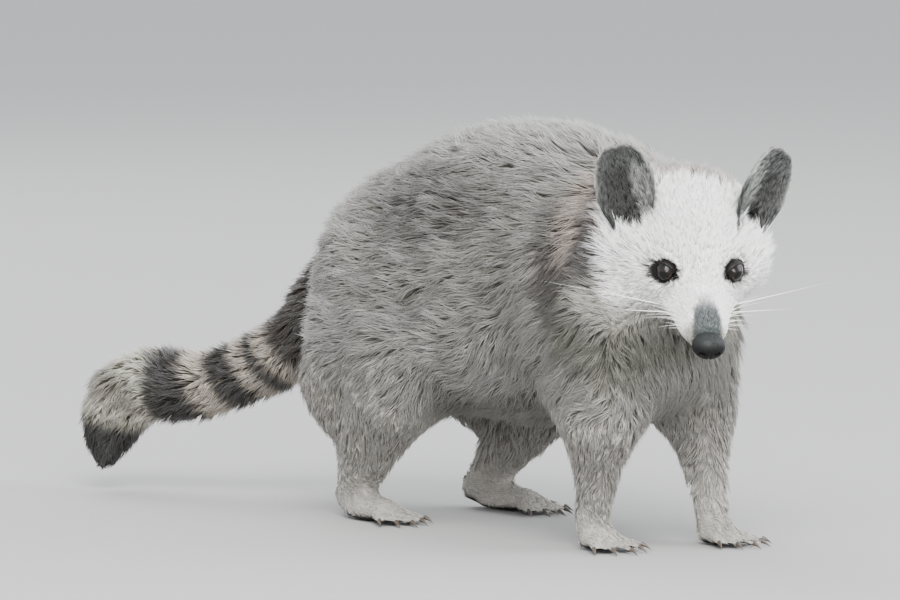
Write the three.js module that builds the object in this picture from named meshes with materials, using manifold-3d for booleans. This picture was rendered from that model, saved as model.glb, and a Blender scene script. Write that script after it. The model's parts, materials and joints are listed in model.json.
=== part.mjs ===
// A raccoon standing in mid-step with its head turned to the right, life size, as a still model.
// Millimetres, +Z up. The animal faces -Y, so its left side is +X. The origin is on the floor, under the
// middle of the whole body's box.
//
// The solids follow the outside of the coat. The body is one soft union of named masses (ellipsoids and
// round cones), and planes part it into the pieces that a person would name, with a thin seam between them.
import * as THREE from 'three';
import { mergeVertices } from 'three/addons/utils/BufferGeometryUtils.js';
import Module from 'manifold-3d';

const wasm = await Module();
wasm.setup();

// ---- Driving sizes ---------------------------------------------------------------------------------

const SEAM = 0.35; // gap between neighbouring pieces
const BODY_BLEND = 8; // softness of the union where two masses of the body meet
const HEAD_BLEND = 6; // and of the head, where the masses are smaller
const FAR = 600; // larger than any part of the body

const HIPS = -118; // forward place of the hip joints
const SHOULDERS = 100; // forward place of the shoulder joints
const TRUNK_HALF_WIDTH = 106;

const EYE_RADIUS = 8.2;
const EYE_SPREAD = 25.5; // from the midline to an eye's centre
const EYE_DROP = 2; // and down from the head's origin
const EYE_TURN = 28; // degrees that an eye looks outwards
const EYE_LIFT = 4; // and upwards
const EYE_BULGE = 3.6; // how far an eyeball stands out of the coat around it
const NOSE_REACH = 61.5; // from between the eyes forward to the middle of the nose pad
const NOSE_DROP = 21;
const EAR_HEIGHT = 46;
const EAR_WIDTH = 46;
const EAR_THICKNESS = 4;
const EAR_CUP = 10; // how deep an ear's hollow is behind its edges

// ---- Frames ----------------------------------------------------------------------------------------

// A point given as forward, left and up, in the axes of the part.
const place = (forward, left, up) => new THREE.Vector3(left, -forward, up);

// A local frame: it has an origin and its own forward, left and up directions.
class Frame {
  constructor(origin, { right = 0, down = 0, tilt = 0 } = {}) {
    const turn = new THREE.Euler(
      THREE.MathUtils.degToRad(down),
      THREE.MathUtils.degToRad(tilt),
      THREE.MathUtils.degToRad(-right),
      'ZXY',
    );
    this.origin = origin;
    this.quaternion = new THREE.Quaternion().setFromEuler(turn);
  }

  at(forward, left, up) {
    return place(forward, left, up).applyQuaternion(this.quaternion).add(this.origin);
  }

  // A frame inside this one, turned further.
  inner(forward, left, up, turns) {
    const made = new Frame(this.at(forward, left, up), turns);
    made.quaternion.premultiply(this.quaternion);
    return made;
  }
}

const BODY = new Frame(new THREE.Vector3());
const HEAD = new Frame(place(212, -27, 210), { right: 33, down: 33, tilt: 1 });

// ---- Masses: each is a function of a point that gives about the distance to its surface ------------

function ellipsoid(frame, [forward, left, up], [alongForward, alongLeft, alongUp]) {
  const centre = frame.at(forward, left, up);
  const back = frame.quaternion.clone().invert();
  const radii = new THREE.Vector3(alongLeft, alongForward, alongUp);
  const q = new THREE.Vector3();
  return (p) => {
    q.copy(p).sub(centre).applyQuaternion(back).divide(radii);
    const k0 = q.length();
    const k1 = q.divide(radii).length();
    return k1 < 1e-9 ? -Math.min(alongForward, alongLeft, alongUp) : (k0 * (k0 - 1)) / k1;
  };
}

function cone(frame, from, fromRadius, to, toRadius) {
  const a = frame.at(...from);
  const line = frame.at(...to).sub(a);
  const q = new THREE.Vector3();
  return (p) => {
    q.copy(p).sub(a);
    const share = THREE.MathUtils.clamp(q.dot(line) / line.lengthSq(), 0, 1);
    return q.addScaledVector(line, -share).length() - fromRadius - (toRadius - fromRadius) * share;
  };
}

// The soft union of several masses.
function softUnion(masses, blend = BODY_BLEND) {
  return (p) => {
    let sum = 0;
    for (const mass of masses) sum += Math.exp(-mass(p) / blend);
    return -blend * Math.log(sum);
  };
}

const SIDES = { right: -1, left: 1 };

const trunkMasses = [
  ellipsoid(BODY, [HIPS - 4, 0, 192], [88, 92, 84]), // pelvis and rump
  ellipsoid(BODY, [HIPS - 44, 0, 176], [52, 74, 70]), // seat, over the root of the tail
  ellipsoid(BODY, [-32, 0, 200], [122, TRUNK_HALF_WIDTH - 8, 111]), // loin and barrel
  ellipsoid(BODY, [0, 0, 142], [112, TRUNK_HALF_WIDTH - 12, 66]), // belly
  ellipsoid(BODY, [SHOULDERS - 30, 0, 194], [94, 86, 102]), // rib cage
  ellipsoid(BODY, [30, 0, 240], [92, 64, 74]), // arch of the back
  ellipsoid(BODY, [SHOULDERS + 28, 0, 150], [56, 60, 60]), // breast
];

const neckMasses = [
  cone(BODY, [SHOULDERS - 14, 0, 212], 74, [SHOULDERS + 56, -12, 232], 52), // neck
  ellipsoid(BODY, [SHOULDERS + 14, 0, 246], [50, 46, 44]), // nape
];

// Shoulder, elbow and wrist, or hip, knee and heel, of each leg as it stands: forward, out and up.
const LEGS = {
  fore_right: { side: 'right', top: [SHOULDERS + 18, 54, 152], bend: [140, 58, 102], end: [119, 48, 30] },
  fore_left: { side: 'left', top: [SHOULDERS + 10, 54, 152], bend: [114, 58, 102], end: [150, 40, 30] },
  hind_right: { side: 'right', top: [HIPS + 10, 62, 158], bend: [-70, 76, 108], end: [-137, 60, 34] },
  hind_left: { side: 'left', top: [HIPS + 18, 62, 158], bend: [-54, 76, 108], end: [-118, 58, 34] },
};
const LEG_BUILD = {
  fore: { mass: [52, 34, 66], top: 36, bend: 27, end: 15.5 },
  hind: { mass: [66, 38, 74], top: 40, bend: 34, end: 20 },
};
const BREECH = { behind: 45, up: -40, radii: [40, 38, 60] }; // the coat behind each thigh, from the hip

function legMasses(name) {
  const { side, top, bend, end } = LEGS[name];
  const build = LEG_BUILD[name.split('_')[0]];
  const out = SIDES[side];
  const set = ([forward, outward, up]) => [forward, out * outward, up];
  const [forward, outward, up] = top;
  const breech = [forward - BREECH.behind, outward, up + BREECH.up];
  return [
    ...(name.startsWith('hind') ? [ellipsoid(BODY, set(breech), BREECH.radii)] : []),
    ellipsoid(BODY, set(top), build.mass), // shoulder or haunch
    cone(BODY, set(top), build.top, set(bend), build.bend), // upper arm or thigh
    cone(BODY, set(bend), build.bend, set(end), build.end), // forearm or shin
  ];
}

const headMasses = [
  ellipsoid(HEAD, [-44, 0, 6], [40, 38, 33]), // cranium
  ellipsoid(HEAD, [-66, 0, 12], [32, 42, 30]), // crown
  ellipsoid(HEAD, [-16, 0, 3], [20, 26, 15]), // brow
  cone(HEAD, [0, 0, -4], 11, [NOSE_REACH - 14, 0, 5 - NOSE_DROP], 6), // bridge of the muzzle
  cone(HEAD, [0, 0, -17], 14, [NOSE_REACH - 14, 0, -NOSE_DROP], 7), // muzzle
  cone(HEAD, [-24, 0, -30], 12, [NOSE_REACH - 28, 0, -12 - NOSE_DROP], 3), // lower jaw
  ...Object.values(SIDES).flatMap((s) => [
    ellipsoid(HEAD, [-41, s * 38, -19], [28, 27, 31]), // cheek ruff
    ellipsoid(HEAD, [-52, s * 42, 12], [20, 16, 15]), // root of the ear
    cone(HEAD, [-24, s * 31, -18], 17, [26, s * 9, -22], 7), // cheekbone, down to the whisker pad
    ellipsoid(HEAD, [NOSE_REACH - 24, s * 8, -4 - NOSE_DROP], [12, 5, 5]), // whisker pad
  ]),
];

// ---- Surfaces and solids -----------------------------------------------------------------------------

// Meshes the surface field = level inside a box of a frame, by one vertex per crossed cell (surface nets).
// The box's own faces close it. low and high are [forward, left, up].
function surface(field, frame, low, high, cell, level = 0) {
  const count = low.map((v, i) => Math.max(2, Math.round((high[i] - v) / cell)));
  const step = count.map((n, i) => (high[i] - low[i]) / n);
  const size = count.map((n) => n + 1);
  const nodeAt = (i, j, k) => (i * size[1] + j) * size[2] + k;
  const world = (i, j, k) => frame.at(low[0] + i * step[0], low[1] + j * step[1], low[2] + k * step[2]);
  const values = new Float64Array(size[0] * size[1] * size[2]);
  for (let i = 0; i < size[0]; i++)
    for (let j = 0; j < size[1]; j++)
      for (let k = 0; k < size[2]; k++) {
        const edge = [i, j, k].some((v, axis) => v === 0 || v === count[axis]);
        const value = field(world(i, j, k)) - level;
        values[nodeAt(i, j, k)] = edge ? Math.max(value, cell / 4) : value;
      }

  const points = [];
  const vertexOf = new Map(); // from a cell's node and one of its crossed edges to a vertex
  for (let i = 0; i < count[0]; i++)
    for (let j = 0; j < count[1]; j++)
      for (let k = 0; k < count[2]; k++) {
        const v = CORNERS.map(([a, b, c]) => values[nodeAt(i + a, j + b, k + c)]);
        for (const edges of sheets(v)) {
          const mean = [0, 0, 0];
          for (const [a, b] of edges) {
            const share = v[a] / (v[a] - v[b]);
            CORNERS[a].forEach((x, axis) => (mean[axis] += x + (CORNERS[b][axis] - x) * share));
            vertexOf.set(`${nodeAt(i, j, k)}:${a}-${b}`, points.length);
          }
          const p = world(i + mean[0] / edges.length, j + mean[1] / edges.length, k + mean[2] / edges.length);
          const inside = [i, j, k].every((x, axis) => x > 0 && x < count[axis] - 1);
          points.push(inside ? ontoSurface(field, level, p, cell / 2) : p);
        }
      }

  const triangles = [];
  for (let i = 1; i <= count[0]; i++)
    for (let j = 1; j <= count[1]; j++)
      for (let k = 1; k <= count[2]; k++) {
        const here = values[nodeAt(i, j, k)] < 0;
        // The edge that ends at this node along an axis, as each of the four cells around it names it.
        const ring = (cells, axis) =>
          cells.map((cell) => {
            const to = cell.reduce((sum, v, n) => sum + (v < 0 ? 1 << n : 0), 0) | (1 << axis);
            return vertexOf.get(`${nodeAt(i + cell[0], j + cell[1], k + cell[2])}:${to ^ (1 << axis)}-${to}`);
          });
        const across = [
          [values[nodeAt(i - 1, j, k)] < 0, [[-1, -1, -1], [-1, 0, -1], [-1, 0, 0], [-1, -1, 0]]],
          [values[nodeAt(i, j - 1, k)] < 0, [[-1, -1, -1], [-1, -1, 0], [0, -1, 0], [0, -1, -1]]],
          [values[nodeAt(i, j, k - 1)] < 0, [[-1, -1, -1], [0, -1, -1], [0, 0, -1], [-1, 0, -1]]],
        ];
        for (const [axis, [before, cells]] of across.entries()) {
          if (before === here) continue;
          const [a, b, c, d] = before ? ring(cells, axis) : ring(cells, axis).reverse();
          const short = points[a].distanceTo(points[c]) < points[b].distanceTo(points[d]);
          triangles.push(...(short ? [a, b, c, a, c, d] : [a, b, d, b, c, d]));
        }
      }
  const geometry = new THREE.BufferGeometry().setFromPoints(points);
  geometry.setIndex(triangles);
  return solidOf(geometry);
}

// The corners of a cell: bit 0 of a corner's number is its step forward, bit 1 left and bit 2 up.
const CORNERS = Array.from({ length: 8 }, (_, c) => [c & 1, (c >> 1) & 1, (c >> 2) & 1]);
const CELL_EDGES = CORNERS.flatMap((_, a) => [1, 2, 4].filter((bit) => !(a & bit)).map((bit) => [a, a | bit]));
const CELL_FACES = [1, 2, 4].flatMap((bit) => {
  const [u, w] = [1, 2, 4].filter((other) => other !== bit);
  return [0, bit].map((a) => [a, a | u, a | u | w, a | w]);
});

// The sheets of the surface that pass through a cell, each as the list of the edges that it crosses.
function sheets(v) {
  const group = CORNERS.map((_, c) => c);
  const join = (a, b) => {
    const [from, to] = [group[a], group[b]];
    group.forEach((g, c) => (group[c] = g === from ? to : g));
  };
  for (const [a, b] of CELL_EDGES) if (v[a] < 0 === v[b] < 0) join(a, b);
  for (const [a, b, c, d] of CELL_FACES) {
    const signs = [a, b, c, d].map((n) => v[n] < 0);
    if (signs[0] === signs[2] && signs[1] === signs[3] && signs[0] !== signs[1]) {
      if (signs[0]) join(b, d);
      else join(a, c);
    }
  }
  const found = new Map();
  for (const [a, b] of CELL_EDGES) {
    if (v[a] < 0 === v[b] < 0) continue;
    const key = v[a] < 0 ? `${group[a]},${group[b]}` : `${group[b]},${group[a]}`;
    found.set(key, [...(found.get(key) ?? []), [a, b]]);
  }
  return [...found.values()];
}

// Moves a point along the field's slope to the surface field = level, at most reach away.
function ontoSurface(field, level, p, reach) {
  const start = p.clone();
  const delta = 0.5;
  for (let turn = 0; turn < 3; turn++) {
    const value = field(p) - level;
    const slope = new THREE.Vector3(
      ...['x', 'y', 'z'].map((axis) => {
        const q = p.clone();
        q[axis] += delta;
        return (field(q) - level - value) / delta;
      }),
    );
    p.addScaledVector(slope, -value / Math.max(slope.lengthSq(), 0.05));
  }
  return p.sub(start).clampLength(0, reach).add(start);
}

// A closed indexed geometry whose faces share their vertices, as a solid.
function solidOf(geometry) {
  return new wasm.Manifold(
    new wasm.Mesh({
      numProp: 3,
      vertProperties: Float32Array.from(geometry.attributes.position.array),
      triVerts: Uint32Array.from(geometry.index.array),
    }),
  );
}

// A closed three.js geometry with its shared corners merged and each vertex moved by a function.
function moved(geometry, move) {
  geometry.deleteAttribute('normal');
  geometry.deleteAttribute('uv');
  const merged = mergeVertices(geometry, 1e-4);
  const points = merged.attributes.position;
  for (let i = 0; i < points.count; i++) {
    points.setXYZ(i, ...move(new THREE.Vector3().fromBufferAttribute(points, i)).toArray());
  }
  return solidOf(merged);
}

// A closed three.js geometry, stretched and set in a frame, as a solid.
const shape = (geometry, frame, [forward, left, up] = [0, 0, 0], [sf, sl, su] = [1, 1, 1]) =>
  moved(geometry, (p) => frame.at(forward - p.y * sf, left + p.x * sl, up + p.z * su));

// A box that fills low to high in a frame, each as [forward, left, up].
function block(frame, low, high) {
  const middle = low.map((v, i) => (v + high[i]) / 2);
  return shape(new THREE.BoxGeometry(1, 1, 1), frame, middle, low.map((v, i) => high[i] - v));
}

// The half of space in front of a frame's origin, from a little way past it.
const ahead = (frame, gap = 0) => block(frame, [gap, -FAR, -FAR], [FAR, FAR, FAR]);

// A frame at a point, with its forward direction along a line.
function along(from, to) {
  const made = new Frame(from.clone());
  made.quaternion.setFromUnitVectors(place(1, 0, 0), to.clone().sub(from).normalize());
  return made;
}

// The largest body of a solid, without the slivers that a cut leaves.
function largest(solid) {
  return solid.decompose().reduce((a, b) => (a.volume() > b.volume() ? a : b));
}

// ---- Materials ---------------------------------------------------------------------------------------

const coat = (name, color) => new THREE.MeshStandardMaterial({ name, color, roughness: 0.9, metalness: 0 });
const MATERIALS = {
  grey: coat('coat_grey', 0x9c9893),
  white: coat('coat_white', 0xe9e7e2),
  legs: coat('coat_legs', 0xb9b3ac),
  ear: coat('coat_ear', 0x5c5b59),
  ringed: coat('coat_tail', 0x948b7e),
  eye: new THREE.MeshStandardMaterial({ name: 'eye', color: 0x120d0a, roughness: 0.08, metalness: 0 }),
  nose: new THREE.MeshStandardMaterial({ name: 'nose', color: 0x1d1c1d, roughness: 0.45, metalness: 0 }),
};

const raccoon = new THREE.Group();

function add(name, solid, material) {
  const mesh = solid.getMesh();
  const geometry = new THREE.BufferGeometry();
  geometry.setAttribute('position', new THREE.BufferAttribute(mesh.vertProperties, 3));
  geometry.setIndex(new THREE.BufferAttribute(mesh.triVerts, 1));
  const made = new THREE.Mesh(geometry.toNonIndexed(), material);
  made.geometry.computeVertexNormals();
  made.name = name;
  raccoon.add(made);
}

// ---- Cuts --------------------------------------------------------------------------------------------

const NECK_CUT = new Frame(place(SHOULDERS + 18, 0, 215), { right: 10, down: 12 }); // the neck lies ahead of it
const HEAD_CUT = HEAD.inner(-52, 0, -6, { down: -38 }); // the head lies ahead of this one
const THROAT_CUT = HEAD.inner(-20, 0, -45, { down: -80 }); // and above this one

// Each leg leaves the trunk inside an upright column with an oval section, below a level.
const LEG_CUT = {
  fore: { share: 0.3, reach: [54, 50], level: 118, cell: 16 },
  hind: { share: 0.62, reach: [90, 66], level: 126, cell: 22 },
};
const COLUMN_SPARE = 20; // how far a column goes on below the floor, and a leg's surface above its column

// The place of a leg's column, and its size: it stands a share of the way from elbow to wrist.
function legColumn(name) {
  const { bend, end } = legJoints(name);
  const { share, ...size } = LEG_CUT[name.split('_')[0]];
  const middle = bend.clone().lerp(end, share);
  return { forward: -middle.y, left: middle.x, ...size };
}

function legRegion(name, grow) {
  const { forward, left, reach, level } = legColumn(name);
  const column = new THREE.CylinderGeometry(1, 1, 1, 24);
  column.rotateX(Math.PI / 2);
  const size = [reach[0] + grow, reach[1] + grow, level + grow + COLUMN_SPARE];
  return shape(column, BODY, [forward, left, (level + grow - COLUMN_SPARE) / 2], size);
}

// ---- Trunk, neck and head ----------------------------------------------------------------------------

const bodyField = softUnion([...trunkMasses, ...neckMasses, ...Object.keys(LEGS).flatMap(legMasses)]);
const headField = softUnion(headMasses, HEAD_BLEND);
const wholeField = softUnion([bodyField, headField], HEAD_BLEND);

const TRUNK_CELL = 28;
const NECK_CELL = 20;
const HEAD_CELL = 10.6;

const bodySurface = (level) =>
  surface(bodyField, BODY, [-260, -160, 40], [220, 160, 350], TRUNK_CELL, level);

function trunk() {
  let solid = bodySurface(0);
  solid = solid.subtract(ahead(NECK_CUT, -SEAM));
  for (const name of Object.keys(LEGS)) solid = solid.subtract(legRegion(name, SEAM));
  return largest(solid.subtract(headRegion(SEAM)));
}

const headRegion = (grow) => ahead(HEAD_CUT, -grow).intersect(ahead(THROAT_CUT, -grow));

function neck() {
  let solid = surface(wholeField, BODY, [90, -140, 80], [270, 140, 330], NECK_CELL);
  for (const name of Object.keys(LEGS)) solid = solid.subtract(legRegion(name, SEAM));
  return largest(solid.intersect(ahead(NECK_CUT)).subtract(headRegion(SEAM)));
}

const headSurface = (level) =>
  surface(wholeField, HEAD, [-120, -110, -80], [80, 110, 80], HEAD_CELL, level);

// An eye looks out of the coat along its own frame, so its centre lies that far behind the coat.
function eyeFrame(s) {
  const line = HEAD.inner(0, s * EYE_SPREAD, -EYE_DROP, { right: -s * EYE_TURN, down: -EYE_LIFT });
  let depth = 30;
  while (headField(line.at(depth, 0, 0)) > 0) depth -= 0.25;
  return line.inner(depth + EYE_BULGE - EYE_RADIUS, 0, 0);
}
const eyeball = (s, grow) => shape(new THREE.SphereGeometry(EYE_RADIUS + grow, 12, 9), eyeFrame(s));

const noseFrame = HEAD.inner(NOSE_REACH, 0, -NOSE_DROP, { down: 8 });
const nosePad = (grow) =>
  shape(new THREE.SphereGeometry(1, 14, 9), noseFrame, [0, 0, 0], [9 + grow, 12.4 + grow, 9 + grow]);

const MOUTH = HEAD.inner(8, 0, -10 - NOSE_DROP);
const jawBlock = (grow) => block(MOUTH, [-12 - grow, -20 - grow, -40], [80, 20 + grow, grow]);

function head() {
  let solid = headSurface(0).intersect(headRegion(0)).subtract(nosePad(SEAM)).subtract(jawBlock(SEAM));
  for (const s of Object.values(SIDES)) solid = solid.subtract(eyeball(s, SEAM));
  return largest(solid);
}

function jaw() {
  return largest(headSurface(0).intersect(headRegion(0)).intersect(jawBlock(0)).subtract(nosePad(SEAM)));
}

// ---- Ears --------------------------------------------------------------------------------------------

// Each ear is a cupped leaf with a round tip. The right one faces ahead and the left one is turned out.
const EARS = {
  right: HEAD.inner(-44, -47.5, 24, { right: 20, down: -24, tilt: -25 }),
  left: HEAD.inner(-44, 46, 24, { right: -42, down: -20, tilt: 51 }),
};
const EAR_ROWS = 6;
const EAR_COLUMNS = 6;
const EAR_ROOT = -0.35; // the part of its height that goes on below the coat
const EAR_TIP_ROWS = 1.6; // how much closer the rows lie towards the tip

// A slab, bent: x runs across the leaf from -1 to 1, y through its thickness and z up it.
function ear(side) {
  const width = (t) => (EAR_WIDTH / 2) * (t < 0 ? 1 + t : 0.2 + 0.8 * (1 - t ** 2.6) ** 0.5);
  const slab = new THREE.BoxGeometry(2, 1, 1, EAR_COLUMNS, 1, EAR_ROWS);
  const leaf = moved(slab, ({ x, y, z }) => {
    const t = THREE.MathUtils.lerp(EAR_ROOT, 1, 1 - (0.5 - z) ** EAR_TIP_ROWS);
    const hollow = EAR_CUP * (x ** 2 - 1) * (1 - Math.max(t, 0)) ** 0.5;
    const thickness = EAR_THICKNESS * (0.4 + 0.6 * (1 - x ** 2));
    return EARS[side].at(hollow - y * thickness, x * width(t), t * EAR_HEIGHT);
  });
  return largest(leaf.subtract(headSurface(SEAM)));
}

// ---- Legs --------------------------------------------------------------------------------------------

function legJoints(name) {
  const { side, top, bend, end } = LEGS[name];
  const out = SIDES[side];
  const [t, b, e] = [top, bend, end].map(([forward, outward, up]) => place(forward, out * outward, up));
  return { top: t, bend: b, end: e };
}

function legPieces(name) {
  const { bend, end } = legJoints(name);
  const knee = along(bend, end);
  const ankle = along(end, end.clone().setZ(0));
  const { forward, left, reach, level, cell } = legColumn(name);
  const low = [forward - reach[0] - 10, left - reach[1] - 10, -COLUMN_SPARE];
  const high = [forward + reach[0] + 10, left + reach[1] + 10, level + COLUMN_SPARE];
  const whole = surface(bodyField, BODY, low, high, cell).intersect(legRegion(name, 0));
  return {
    upper: largest(whole.subtract(ahead(knee, -SEAM))),
    lower: largest(whole.intersect(ahead(knee)).subtract(ahead(ankle, -SEAM))),
    ankle,
  };
}

// ---- Paws --------------------------------------------------------------------------------------------

// The five toes of a paw: how far out each root lies, how far its direction spreads, and its length.
const PAWS = {
  fore: {
    palm: [17, 17, 11],
    ahead: 16,
    toes: [[-14, -34, 15], [-9, -13, 21], [-1.5, -2, 24], [7, 11, 22], [13, 30, 17]],
  },
  hind: {
    palm: [38, 16.5, 12],
    ahead: 34,
    toes: [[-14, -24, 17], [-9, -9, 22], [-1, 0, 24], [7, 9, 22], [13, 24, 16]],
  },
};
const HEEL_RADIUS = 13;
const TOE_RADIUS = 5.2;
const TOE_TIP_RADIUS = 3.7;
const TOE_LEVEL = 6.4; // height of a toe's root above the floor
const TOE_DROP = 7; // degrees that a toe slopes down
const CLAW_LENGTH = 9;
const CLAW_RADIUS = 1.7;
const CLAW_DROP = 22; // degrees below its toe
const FOOT_TURN = 6; // degrees that a foot is turned out

// A round-ended rod along a frame's forward direction.
function rod(frame, length, root, tip, sides) {
  const profile = [[0, -root], [0.8 * root, -0.5 * root], [root, 0], [tip, length], [0, length + tip]];
  return turned(profile, frame, sides);
}

const claw = (frame) => turned([[0, -2], [CLAW_RADIUS, -1], [0, CLAW_LENGTH]], frame, 5);

// A profile of [radius, forward] points, turned round a frame's forward direction.
function turned(profile, frame, sides) {
  const lathe = new THREE.LatheGeometry(profile.map(([x, y]) => new THREE.Vector2(x, y)), sides);
  lathe.rotateX(Math.PI); // the lathe's +Y becomes -Y, which is forward
  return shape(lathe, frame);
}

function paw(name, ankle) {
  const { end, bend } = legJoints(name);
  const kind = name.split('_')[0];
  const out = SIDES[LEGS[name].side];
  const build = PAWS[kind];
  const foot = new Frame(new THREE.Vector3(end.x, end.y, 0), { right: -out * FOOT_TURN });
  const [long, wide, high] = build.palm;
  const ball = new THREE.SphereGeometry(1, 10, 6);
  let solid = shape(ball, foot, [build.ahead - long * 0.5, 0, high * 0.72], [long, wide, high]);
  // The wrist or heel: the leg's own cone carried down into the foot.
  const down = end.clone().sub(bend).normalize();
  const start = end.clone().addScaledVector(down, -12);
  const reach = (start.z - HEEL_RADIUS) / -down.z;
  const heel = along(start, start.clone().add(down));
  solid = solid.add(rod(heel, reach, LEG_BUILD[kind].end + 0.5, HEEL_RADIUS, 10));
  for (const [root, spread, length] of build.toes) {
    const at = [build.ahead + long * 0.3 - Math.abs(root) * 0.35, out * root, TOE_LEVEL];
    const toe = foot.inner(...at, { right: -out * spread, down: TOE_DROP });
    solid = solid.add(rod(toe, length, TOE_RADIUS, TOE_TIP_RADIUS, 5));
    solid = solid.add(claw(toe.inner(length + 1.5, 0, 0.6, { down: CLAW_DROP })));
  }
  const aboveFloor = block(BODY, [-FAR, -FAR, 0], [FAR, FAR, FAR]);
  return largest(solid.intersect(aboveFloor).intersect(ahead(ankle)));
}

// ---- Tail --------------------------------------------------------------------------------------------

// The tail hangs from the rump, swings to the right and drops its tip to the floor.
const TAIL = [
  { at: place(-174, 0, 194), radius: 31 },
  { at: place(-226, -6, 166), radius: 38 },
  { at: place(-266, -18, 123), radius: 32 },
  { at: place(-316, -38, 95), radius: 31 },
  { at: place(-360, -60, 83), radius: 33 },
  { at: place(-388, -70, 85), radius: 36 },
  { at: place(-404, -84, 73), radius: 36 },
  { at: place(-411, -92, 46), radius: 28 },
  { at: place(-412, -98, 22), radius: 11 },
];
const TAIL_LINE = new THREE.CatmullRomCurve3(TAIL.map((point) => point.at));
const TAIL_SIDES = 12;
const TAIL_RINGS = 20;
const TAIL_END = 8; // how far each end's middle stands out
const TAIL_GAP = 1; // gap between the tail and the body
const TAIL_CUTS = [0.42, 0.72]; // shares of the tail's length where its three lengths meet

function tailRadius(share) {
  const at = TAIL_LINE.getUtoTmapping(share) * (TAIL.length - 1);
  const low = Math.min(Math.floor(at), TAIL.length - 2);
  return THREE.MathUtils.lerp(TAIL[low].radius, TAIL[low + 1].radius, at - low);
}

// An upright cylinder, bent along the tail's line, with its two end caps drawn out to blunt points.
function tailTube() {
  const frames = TAIL_LINE.computeFrenetFrames(TAIL_RINGS, false);
  return moved(new THREE.CylinderGeometry(1, 1, 1, TAIL_SIDES, TAIL_RINGS), ({ x, y, z }) => {
    const share = y + 0.5;
    const ring = Math.round(share * TAIL_RINGS);
    const pole = Math.hypot(x, z) < 0.5 ? TAIL_END * Math.sign(y) : 0;
    return TAIL_LINE.getPointAt(share)
      .addScaledVector(frames.tangents[ring], pole)
      .addScaledVector(frames.binormals[ring], x * tailRadius(share))
      .addScaledVector(frames.normals[ring], z * tailRadius(share));
  });
}

function tailPieces() {
  const whole = tailTube().subtract(bodySurface(TAIL_GAP));
  const cut = TAIL_CUTS.map((share) => {
    const p = TAIL_LINE.getPointAt(share);
    return along(p, p.clone().add(TAIL_LINE.getTangentAt(share)));
  });
  return {
    tail_base: largest(whole.subtract(ahead(cut[0], -SEAM))),
    tail_middle: largest(whole.intersect(ahead(cut[0])).subtract(ahead(cut[1], -SEAM))),
    tail_tip: largest(whole.intersect(ahead(cut[1]))),
  };
}

// ---- The raccoon -------------------------------------------------------------------------------------

add('trunk', trunk(), MATERIALS.grey);
add('neck', neck(), MATERIALS.grey);
add('head', head(), MATERIALS.white);
add('jaw', jaw(), MATERIALS.white);
add('nose', largest(nosePad(0)), MATERIALS.nose);
for (const [side, s] of Object.entries(SIDES)) {
  add(`eye_${side}`, eyeball(s, 0), MATERIALS.eye);
  add(`ear_${side}`, ear(side), MATERIALS.ear);
}
for (const name of Object.keys(LEGS)) {
  const { upper, lower, ankle } = legPieces(name);
  add(`${name}_upper`, upper, MATERIALS.grey);
  add(`${name}_lower`, lower, MATERIALS.legs);
  add(`${name}_paw`, paw(name, ankle), MATERIALS.legs);
}
for (const [name, solid] of Object.entries(tailPieces())) add(name, solid, MATERIALS.ringed);

// The origin goes to the floor, under the middle of the body's box.
const box = new THREE.Box3().setFromObject(raccoon);
raccoon.position.set(-(box.min.x + box.max.x) / 2, -(box.min.y + box.max.y) / 2, -box.min.z);

export default raccoon;
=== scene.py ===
"""A life-size raccoon as a still museum model: a skin, a coat of solid tufts, eyes, nose, claws, whiskers.

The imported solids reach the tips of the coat. The skin is made from them, lies inside them by the coat's
depth, and carries the fields from which the coat grows: where it lies, how long it is and how it is marked.
"""

import json
import logging
import math
from dataclasses import astuple, dataclass, field, fields
from enum import Enum
from typing import Callable

import bmesh
import bpy
import numpy as np
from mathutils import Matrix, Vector, noise
from mathutils.bvhtree import BVHTree
from mathutils.kdtree import KDTree

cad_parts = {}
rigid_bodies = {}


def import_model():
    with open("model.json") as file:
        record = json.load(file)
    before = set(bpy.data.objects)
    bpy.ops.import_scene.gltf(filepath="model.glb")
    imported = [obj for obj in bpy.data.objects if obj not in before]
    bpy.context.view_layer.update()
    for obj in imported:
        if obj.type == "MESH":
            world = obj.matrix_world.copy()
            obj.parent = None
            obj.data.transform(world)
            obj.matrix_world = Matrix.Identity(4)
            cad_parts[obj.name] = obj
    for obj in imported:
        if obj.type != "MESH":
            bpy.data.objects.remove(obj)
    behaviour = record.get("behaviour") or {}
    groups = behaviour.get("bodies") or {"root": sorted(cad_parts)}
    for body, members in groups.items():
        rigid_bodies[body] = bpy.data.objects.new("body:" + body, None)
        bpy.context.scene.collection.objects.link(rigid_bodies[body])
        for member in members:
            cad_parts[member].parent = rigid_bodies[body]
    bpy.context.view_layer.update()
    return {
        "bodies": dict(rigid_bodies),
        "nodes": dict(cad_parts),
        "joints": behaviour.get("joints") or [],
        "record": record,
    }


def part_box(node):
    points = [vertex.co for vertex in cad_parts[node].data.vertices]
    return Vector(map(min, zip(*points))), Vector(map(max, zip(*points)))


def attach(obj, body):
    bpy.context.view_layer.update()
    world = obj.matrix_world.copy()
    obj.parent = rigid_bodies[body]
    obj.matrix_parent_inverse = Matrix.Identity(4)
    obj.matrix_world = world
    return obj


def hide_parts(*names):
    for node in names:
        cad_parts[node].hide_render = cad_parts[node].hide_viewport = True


LOG = logging.getLogger("raccoon")
MM = 0.001
SEED = 41
BODY = "root"

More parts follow.
